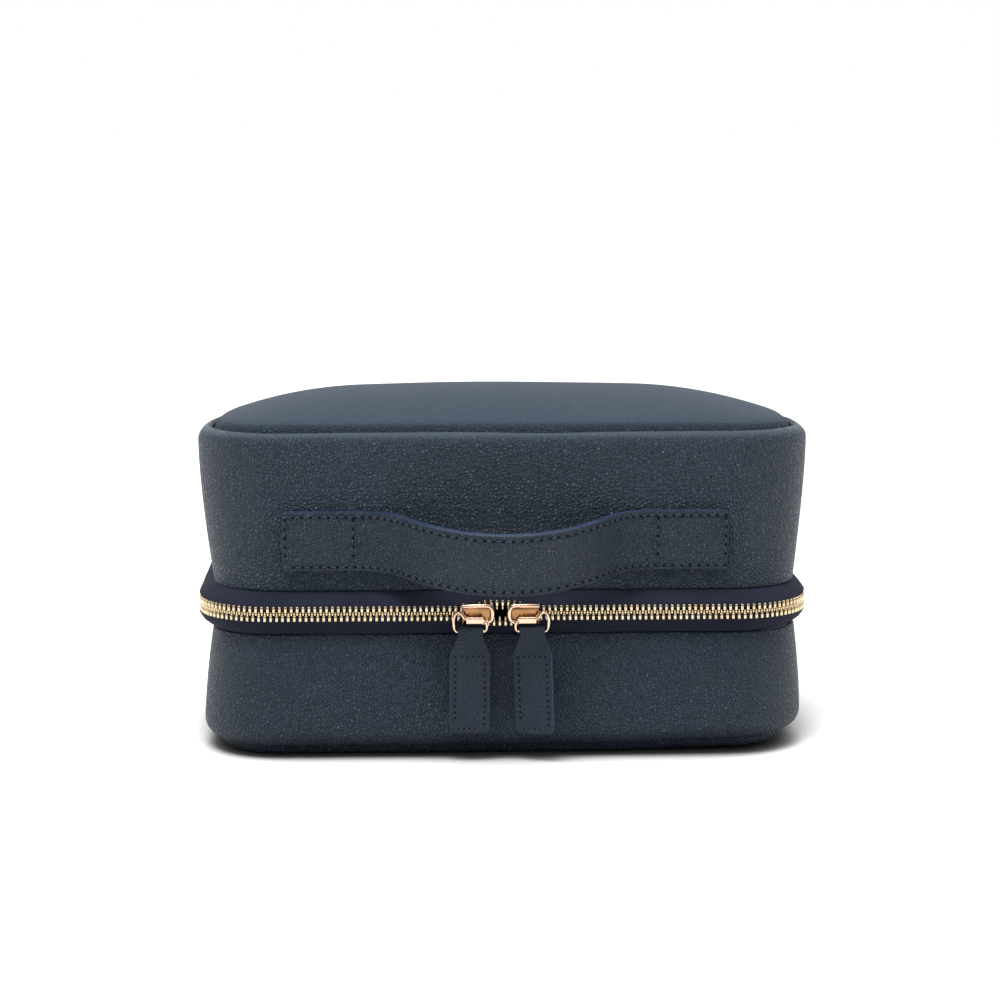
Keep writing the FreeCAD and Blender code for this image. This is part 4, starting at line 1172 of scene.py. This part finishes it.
def strap_point(along, out, up):
    """Bends a flat strap: along its length from the middle, out from its back, up across its width."""
    swing = 2 * math.atan(STRAP_BOW / STRAP_FREE)
    crest = STRAP_FREE / math.sin(swing) - STRAP_HEEL
    distance = abs(along)
    if distance <= crest * swing:
        turn = distance / crest
        x = crest * math.sin(turn)
        away = STRAP_BOW - crest * (1 - math.cos(turn))
    elif distance <= (crest + STRAP_HEEL) * swing:
        turn = swing - (distance - crest * swing) / STRAP_HEEL
        x = STRAP_FREE - STRAP_HEEL * math.sin(turn)
        away = STRAP_HEEL * (1 - math.cos(turn))
    else:
        turn = 0.0
        x = STRAP_FREE + distance - (crest + STRAP_HEEL) * swing
        away = 0.0
    x += out * math.sin(turn)
    away += out * math.cos(turn)
    share = (STRAP_HEIGHT - ZIP - REVEAL) / (SHOULDER - ZIP - REVEAL)
    wall = CASE.half_depth - wall_inset(share)
    drooped = STRAP_DROOP * (away / STRAP_BOW) ** 2
    y = -wall - away * math.cos(STRAP_LEAN) - up * math.sin(STRAP_LEAN)
    z = STRAP_HEIGHT - away * math.sin(STRAP_LEAN) + up * math.cos(STRAP_LEAN) - drooped
    return Vector((math.copysign(x, along), y, z))


def strap_half_length():
    swing = 2 * math.atan(STRAP_BOW / STRAP_FREE)
    return STRAP_FREE / math.sin(swing) * swing + STRAP_PATCH


def strap_fullness(up):
    """How far the strap's face stands out between its edges, less the groove that its stitches pull in."""
    pillow, groove, groove_reach = 0.0003, 0.00022, 0.0013
    edge = STRAP_WIDTH / 2 - abs(up)
    full = pillow * (1 - (2 * up / STRAP_WIDTH) ** 2)
    return full - groove * max(0.0, 1 - abs(edge - STITCH_INSET) / groove_reach)


def flat_strap(half_length, half_width):
    """The strap lying straight, with rounded corners and its thickness out from its back."""
    corner = 0.0018
    corner_x = half_length - corner
    corner_z = half_width - corner
    bm = bmesh.new()
    sheet = bmesh.ops.create_grid(bm, x_segments=150, y_segments=20, size=1)["verts"]
    bmesh.ops.scale(bm, vec=(half_length, half_width, 1), verts=sheet)
    bmesh.ops.transform(bm, matrix=STOOD_UP, verts=sheet)
    for vert in sheet:
        over = Vector((abs(vert.co.x) - corner_x, 0, abs(vert.co.z) - corner_z))
        if over.x > 0 and over.z > 0 and over.length > corner:
            over = over.normalized() * corner
            vert.co.x = math.copysign(corner_x + over.x, vert.co.x)
            vert.co.z = math.copysign(corner_z + over.z, vert.co.z)
    made = bmesh.ops.extrude_face_region(bm, geom=bm.faces[:])["geom"]
    bmesh.ops.translate(bm, vec=(0, STRAP_THICKNESS, 0), verts=new_verts(made))
    return bm


def carrying_strap():
    """Two leathers with painted edges, sewn along both edges and to the lid at box-stitched ends."""
    half_length = strap_half_length()
    half_width = STRAP_WIDTH / 2
    front_from = STRAP_THICKNESS * 0.8
    bm = flat_strap(half_length, half_width)
    paint_edges(bm, radius=0.0005)
    for vert in bm.verts:
        if vert.co.y > front_from:
            vert.co.y += strap_fullness(vert.co.z)
        vert.co = strap_point(*vert.co)
    nodes = ["handle_strap", "handle_backing"]
    add_piece("carrying_strap", bm, [STRAP_LEATHER, EDGE_PAINT], "lid", nodes)
    end_gap, thread_out = 0.0012, 0.0002
    row = half_width - STITCH_INSET
    end = half_length - end_gap
    box = half_length - STRAP_PATCH + end_gap
    surface = STRAP_THICKNESS + thread_out
    sewing = bmesh.new()
    for up in (-row, row):
        stitch_row(sewing, (-end, up), (end, up), surface)
    for x in (-end, -box, box, end):
        stitch_row(sewing, (x, end_gap - row), (x, row - end_gap), surface)
    for vert in sewing.verts:
        vert.co = strap_point(vert.co.x, vert.co.y + strap_fullness(vert.co.z), vert.co.z)
    add_piece("strap_stitching", sewing, [THREAD, HOLE_SHADE], "lid")


# The hinge band.


def hinge_band():
    """One leather band across the fold at the back."""
    flat_inset, thickness, end_gap, bend = 0.0035, 0.0011, 0.0003, 0.004
    half = [(0.0066, 0.0118), (0.0064, 0.0088), (0.0052, 0.0078), (0.0041, 0.0068), (0.0036, 0.0056)]
    half += [(flat_inset, rise) for rise in (0.0044, 0.0032, 0.0021, 0.001)]
    outside = [(inset, ZIP + rise) for inset, rise in half]
    outside += [(flat_inset, ZIP)]
    outside += [(inset, ZIP - rise) for inset, rise in reversed(half)]
    inside = [(inset + thickness, level) for inset, level in reversed(outside)]
    bm = closed_band(CASE, outside + inside)[0]
    cut_away(bm, (0, ZIP_END + end_gap, 0), (0, -1, 0))
    nodes = ["hinge_leaf_lower", "hinge_leaf_upper"]
    band = add_piece("hinge_band", bm, [STRAP_LEATHER], None, nodes)
    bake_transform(band)


# The inside.


def suede_tray(name, body, node, edge, far):
    """The lining of one half: a rounded rim at the zip, walls and a floor."""
    rise = far - edge
    step = math.copysign(LINING, rise)
    shares = (0.0, 0.2, 0.4, 0.6, 0.8, 1.0)
    inner = TO_LINING + LINING
    rim = WAIST + LEATHER + 0.0004
    floor_reach, floor_corner, rim_edge = 0.017, 0.004, 0.0008
    walls = [(wall_inset(share) + inner, edge + rise * share) for share in shares]
    outer = [(wall_inset(share) + TO_LINING, edge + rise * share) for share in shares[1:-1]]
    outer += [(TO_LINING + 0.0008, far - 6 * step), (TO_LINING + 0.004, far + step)]
    profile = [(inner + floor_reach, far)] + walls[::-1] + [(rim, edge), (rim, edge + 4 * step)] + outer
    bm, rings = filled_band(CASE, profile)
    round_edges(bm, rings[1], floor_corner, segments=4)
    round_edges(bm, rings[len(walls)] + rings[len(walls) + 1], rim_edge, segments=3)
    SHAPING[body](bm)
    if body == "base":
        lift_foot(bm)
    add_piece(name, bm, [SUEDE], body, [node])


def edges_along(bm, axis):
    return [edge for edge in bm.edges if abs((edge.verts[0].co - edge.verts[1].co)[axis]) > TOUCHING]


def padded_wall(name, low, high, node):
    """A padded divider: a board covered in suede, a little full between its edges."""
    edge_radius, fullness = 0.0011, 0.0004
    bm = bmesh.new()
    block(bm, low, high)
    size = Vector(high) - Vector(low)
    middle = (Vector(high) + Vector(low)) / 2
    thin = 0 if size.x < size.y else 1
    flat = 1 - thin
    bmesh.ops.subdivide_edges(bm, edges=edges_along(bm, flat), cuts=24, use_grid_fill=True)
    bmesh.ops.subdivide_edges(bm, edges=edges_along(bm, 2), cuts=10, use_grid_fill=True)
    round_edges(bm, sharp_edges(bm), edge_radius, segments=4)
    for vert in bm.verts:
        reach = 2 * abs(vert.co[flat] - middle[flat]) / size[flat]
        height = 2 * abs(vert.co.z - middle.z) / size.z
        full = fullness * (1 - reach ** 4) * (1 - height ** 4)
        vert.co[thin] += math.copysign(1, vert.co[thin] - middle[thin]) * full
    ripple(bm, amount=0.0002, wavelength=0.012, seed=5.0)
    piece = add_piece(name, bm, [CUSHION_SUEDE], "base", [node])


def dividers():
    """One divider from end to end, two in front of it and one behind."""
    clearance = 0.0012
    reach_x = CASE.half_width - TO_LINING - LINING - clearance
    reach_y = CASE.half_depth - TO_LINING - LINING - clearance
    half = DIVIDER / 2
    front = DIVIDER_Y - half
    back = DIVIDER_Y + half
    plan = {
        "long_divider": (-reach_x, front, reach_x, back),
        "front_divider_left": (-FRONT_DIVIDER_X - half, -reach_y, -FRONT_DIVIDER_X + half, front),
        "front_divider_right": (FRONT_DIVIDER_X - half, -reach_y, FRONT_DIVIDER_X + half, front),
        "back_divider": (-half, back, half, reach_y),
    }
    for node, (left, near, right, far) in plan.items():
        padded_wall(node + "_cover", (left, near, FLOOR), (right, far, DIVIDER_TOP), node)


def ring_bed():
    """The foam block under the ring rolls, fitted into the back right corner."""
    sunk = 0.0002
    inset = WAIST * 0.8 + TO_LINING + LINING
    top_edge = [(inset, BED_TOP - 0.002), (inset + 0.0006, BED_TOP - 0.0006), (inset + 0.002, BED_TOP)]
    bm = filled_band(CASE, [(inset, FLOOR - sunk)] + top_edge)[0]
    cut_away(bm, (DIVIDER / 2, 0, 0), (-1, 0, 0))
    cut_away(bm, (0, DIVIDER_Y + DIVIDER / 2, 0), (0, -1, 0))
    piece = add_piece("ring_bed_cover", bm, [CUSHION_SUEDE], "base", ["ring_bed"])


def ring_roll(number):
    """A stuffed roll: round, flat where it is sewn to its bed, gathered at its ends."""
    length, clearance, sunk, sewn_below = 0.0931, 0.0004, 0.0015, 0.0002
    end_radius, gathers, gather_depth, gather_reach = 0.0026, 14, 0.0003, 0.004
    swelling, swell_length, cover = 0.0002, 0.011, 0.0002
    start = DIVIDER / 2 + clearance
    y = ROLL_FIRST_Y + (number - 1) * ROLL_PITCH
    z = BED_TOP + ROLL_RADIUS - sunk
    placing = Matrix.Translation((start + length / 2, y, z)) @ LAID_ALONG
    bm = bmesh.new()
    bmesh.ops.create_cone(bm, cap_ends=True, segments=32, radius1=ROLL_RADIUS, radius2=ROLL_RADIUS,
                          depth=length, matrix=placing)
    caps = [face for face in bm.faces if len(face.verts) > 4]
    rims = {edge for cap in caps for edge in cap.edges}
    long_edges = [edge for edge in bm.edges if edge not in rims]
    bmesh.ops.subdivide_edges(bm, edges=long_edges, cuts=36, use_grid_fill=True)
    round_edges(bm, sharp_edges(bm), end_radius, segments=5)
    for vert in bm.verts:
        reach = min(vert.co.x - start, start + length - vert.co.x)
        spoke = Vector((0, vert.co.y - y, vert.co.z - z))
        angle = math.atan2(spoke.z, spoke.y)
        gather = gather_depth * math.sin(gathers * angle + number) * math.exp(-reach / gather_reach)
        swell = swelling * math.sin(vert.co.x / swell_length + 2 * number)
        vert.co += spoke.normalized() * (gather + swell - cover)
        vert.co.z = max(vert.co.z, BED_TOP - sewn_below)
    node = "ring_roll_%d" % number
    roll = add_piece(node + "_cover", bm, [CUSHION_SUEDE], "base", [node])


def mirror_frame():
    """The leather frame that holds the mirror under the lid, with a stitched border."""
    seam, lip, overlap, edge_radius = 0.005, 0.009, 0.0065, 0.0009
    border, corner = 0.0024, 0.008
    under = CEILING - 0.0034
    seat = CEILING - 0.0022
    profile = [(seam, under), (0.0, under), (0.0, CEILING), (overlap, CEILING), (overlap, seat),
               (lip, seat), (lip, under)]
    bm, rings = closed_band(MIRROR, profile, spacing=0.008)
    round_edges(bm, rings[1] + rings[6], edge_radius, segments=3)
    ripple(bm, amount=0.00012, wavelength=0.02, seed=2.0)
    add_piece("mirror_surround", bm, [TAB_LEATHER], "lid", ["mirror_frame"], sharp=40)
    half_x = MIRROR.half_width - border
    half_y = MIRROR.half_depth - border
    run_x = half_x - corner
    run_y = half_y - corner
    sewing = bmesh.new()
    for side in (1, -1):
        stitch_row(sewing, (-side * run_x, -side * half_y), (side * run_x, -side * half_y), 0.0)
        stitch_row(sewing, (side * half_x, -side * run_y), (side * half_x, side * run_y), 0.0)
    place = Matrix.Translation((0, 0, under)) @ STOOD_UP
    bmesh.ops.transform(sewing, matrix=place, verts=sewing.verts[:])
    add_piece("mirror_stitching", sewing, [THREAD, HOLE_SHADE], "lid")


def finish_node(node, material):
    """Gives a kept CAD node its material."""
    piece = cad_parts[node]
    piece.data.materials.clear()
    piece.data.materials.append(material)


lid_leather()
base_leather()
padded_top()
bottom_panel()
zip_tape("lower_tape", "base", "zip_tape_lower", up=-1, spare=BASE_EDGE - REVEAL)
zip_tape("upper_tape", "lid", "zip_tape_upper", up=1, spare=0.0)
zip_teeth("lower_teeth", "base", ["zip_teeth_lower", "zip_stops_lower"], up=-1, stagger=0.0)
zip_teeth("upper_teeth", "lid", ["zip_teeth_upper", "zip_stops_upper"], up=1, stagger=0.5)
for hand, side, twist, lean in (("left", -1, 0.0, 0.01), ("right", 1, -0.36, -0.035)):
    slider(hand + "_slider", "slider_" + hand, "slider_" + hand, side)
    pull_ring(hand + "_ring", "ring_" + hand, "pull_ring_" + hand, side)
    pull(hand + "_pull", "pull_" + hand, "pull_tab_" + hand, side, twist, lean)
carrying_strap()
hinge_band()
suede_tray("base_suede", "base", "base_lining", ZIP - REVEAL, FLOOR)
suede_tray("lid_suede", "lid", "lid_lining", ZIP + REVEAL, CEILING)
dividers()
ring_bed()
for number in (1, 2, 3, 4):
    ring_roll(number)
mirror_frame()
finish_node("mirror_glass", MIRROR_GLASS)
stiffener("base_stiffener", "base", "base_board", ZIP - REVEAL, FLOOR)
stiffener("lid_stiffener", "lid", "lid_board", ZIP + REVEAL, CEILING)


# Floor, light and camera.


def studio_floor():
    """White paper to the camera and to reflections, grey to bounced light, and darkened with a painted
    shadow close to the foot.
    """
    half_size, grey, lift = 12, 0.3, 0.92
    contact_shadow_reach, contact_shadow_tone = 0.032, 0.08
    bm = bmesh.new()
    bmesh.ops.create_grid(bm, x_segments=1, y_segments=1, size=half_size)
    mesh = keep_mesh("studio_floor", bm)
    floor = put_in_scene("studio_floor", mesh)
    material = bpy.data.materials.new("floor_paper")
    material.use_nodes = True
    tree = material.node_tree
    path = tree.nodes.new("ShaderNodeLightPath").outputs
    seen = calculate(tree, "MAXIMUM", path["Is Camera Ray"], path["Is Transmission Ray"])
    seen = calculate(tree, "MAXIMUM", seen, path["Is Glossy Ray"])
    tone = calculate(tree, "MULTIPLY_ADD", seen, lift, grey)
    # Ambient occlusion darkens the paper's colour near the case, as a painted shadow.
    nearby = add_node(tree, "AmbientOcclusion", {"samples": 10}, Distance=contact_shadow_reach).outputs["AO"]
    painted_contact_shadow = remap(tree, nearby, 0.22, 0.8, contact_shadow_tone, 1.0)
    paper = add_node(tree, "BsdfDiffuse", Color=calculate(tree, "MULTIPLY", tone, painted_contact_shadow))
    tree.links.new(paper.outputs[0], tree.nodes["Material Output"].inputs["Surface"])
    mesh.materials.append(material)


def studio_world():
    """A white surround. Reflections see it bright above and behind, and dim on the camera's side."""
    diffuse_light, dim, brighter = 0.62, 0.25, 0.75
    world = bpy.data.worlds.new("studio")
    bpy.context.scene.world = world
    world.use_nodes = True
    tree = world.node_tree
    background = tree.nodes["Background"]
    path = tree.nodes.new("ShaderNodeLightPath").outputs
    direction = tree.nodes.new("ShaderNodeTexCoord").outputs["Generated"]
    axes = add_node(tree, "SeparateXYZ", Vector=direction).outputs
    above = remap(tree, axes["Z"], 0.1, 0.9, 0.0, 1.0)
    behind = remap(tree, axes["Y"], -0.1, 0.8, 0.0, 1.0)
    bright = calculate(tree, "MAXIMUM", above, behind)
    reflected = calculate(tree, "MULTIPLY_ADD", bright, brighter, dim)
    glossy = calculate(tree, "MULTIPLY", path["Is Glossy Ray"], reflected)
    seen = calculate(tree, "MAXIMUM", path["Is Camera Ray"], path["Is Transmission Ray"])
    lit = calculate(tree, "MULTIPLY", path["Is Diffuse Ray"], diffuse_light)
    strength = calculate(tree, "MAXIMUM", calculate(tree, "MAXIMUM", seen, glossy), lit)
    background.inputs["Color"].default_value = (1, 1, 1, 1)
    connect(tree, background.inputs["Strength"], strength)


def overhead_sun():
    """An even, very soft light from above, which keeps the paper white to its far edge."""
    light = bpy.data.lights.new("overhead", "SUN")
    light.energy = 1.2
    light.angle = math.radians(150)
    put_in_scene("overhead", light).rotation_euler = (math.radians(-8), 0, 0)


def softbox(name, place, target, size, power):
    light = bpy.data.lights.new(name, "AREA")
    light.shape = "RECTANGLE"
    light.size, light.size_y = size
    light.energy = power
    lamp = put_in_scene(name, light)
    lamp.location = place
    lamp.rotation_euler = (Vector(target) - Vector(place)).to_track_quat("-Z", "Y").to_euler()


def camera():
    """A long lens a little to the left of the middle, looking slightly down."""
    distance, height, turn, tilt = 1.124, 0.272, math.radians(-2.0), math.radians(8.8)
    data = bpy.data.cameras.new("camera")
    data.sensor_width = 36
    data.lens = 94.7
    viewer = put_in_scene("camera", data)
    viewer.location = (distance * math.sin(turn), -distance * math.cos(turn), height)
    viewer.rotation_euler = (math.pi / 2 - tilt, 0, turn)
    bpy.context.scene.camera = viewer


studio_floor()
studio_world()
overhead_sun()
softbox("front_softbox", place=(-0.3, -0.78, 1.62), target=(0, 0, 0.06), size=(0.8, 0.45), power=19)
camera()
bpy.context.scene.view_settings.view_transform = "Standard"
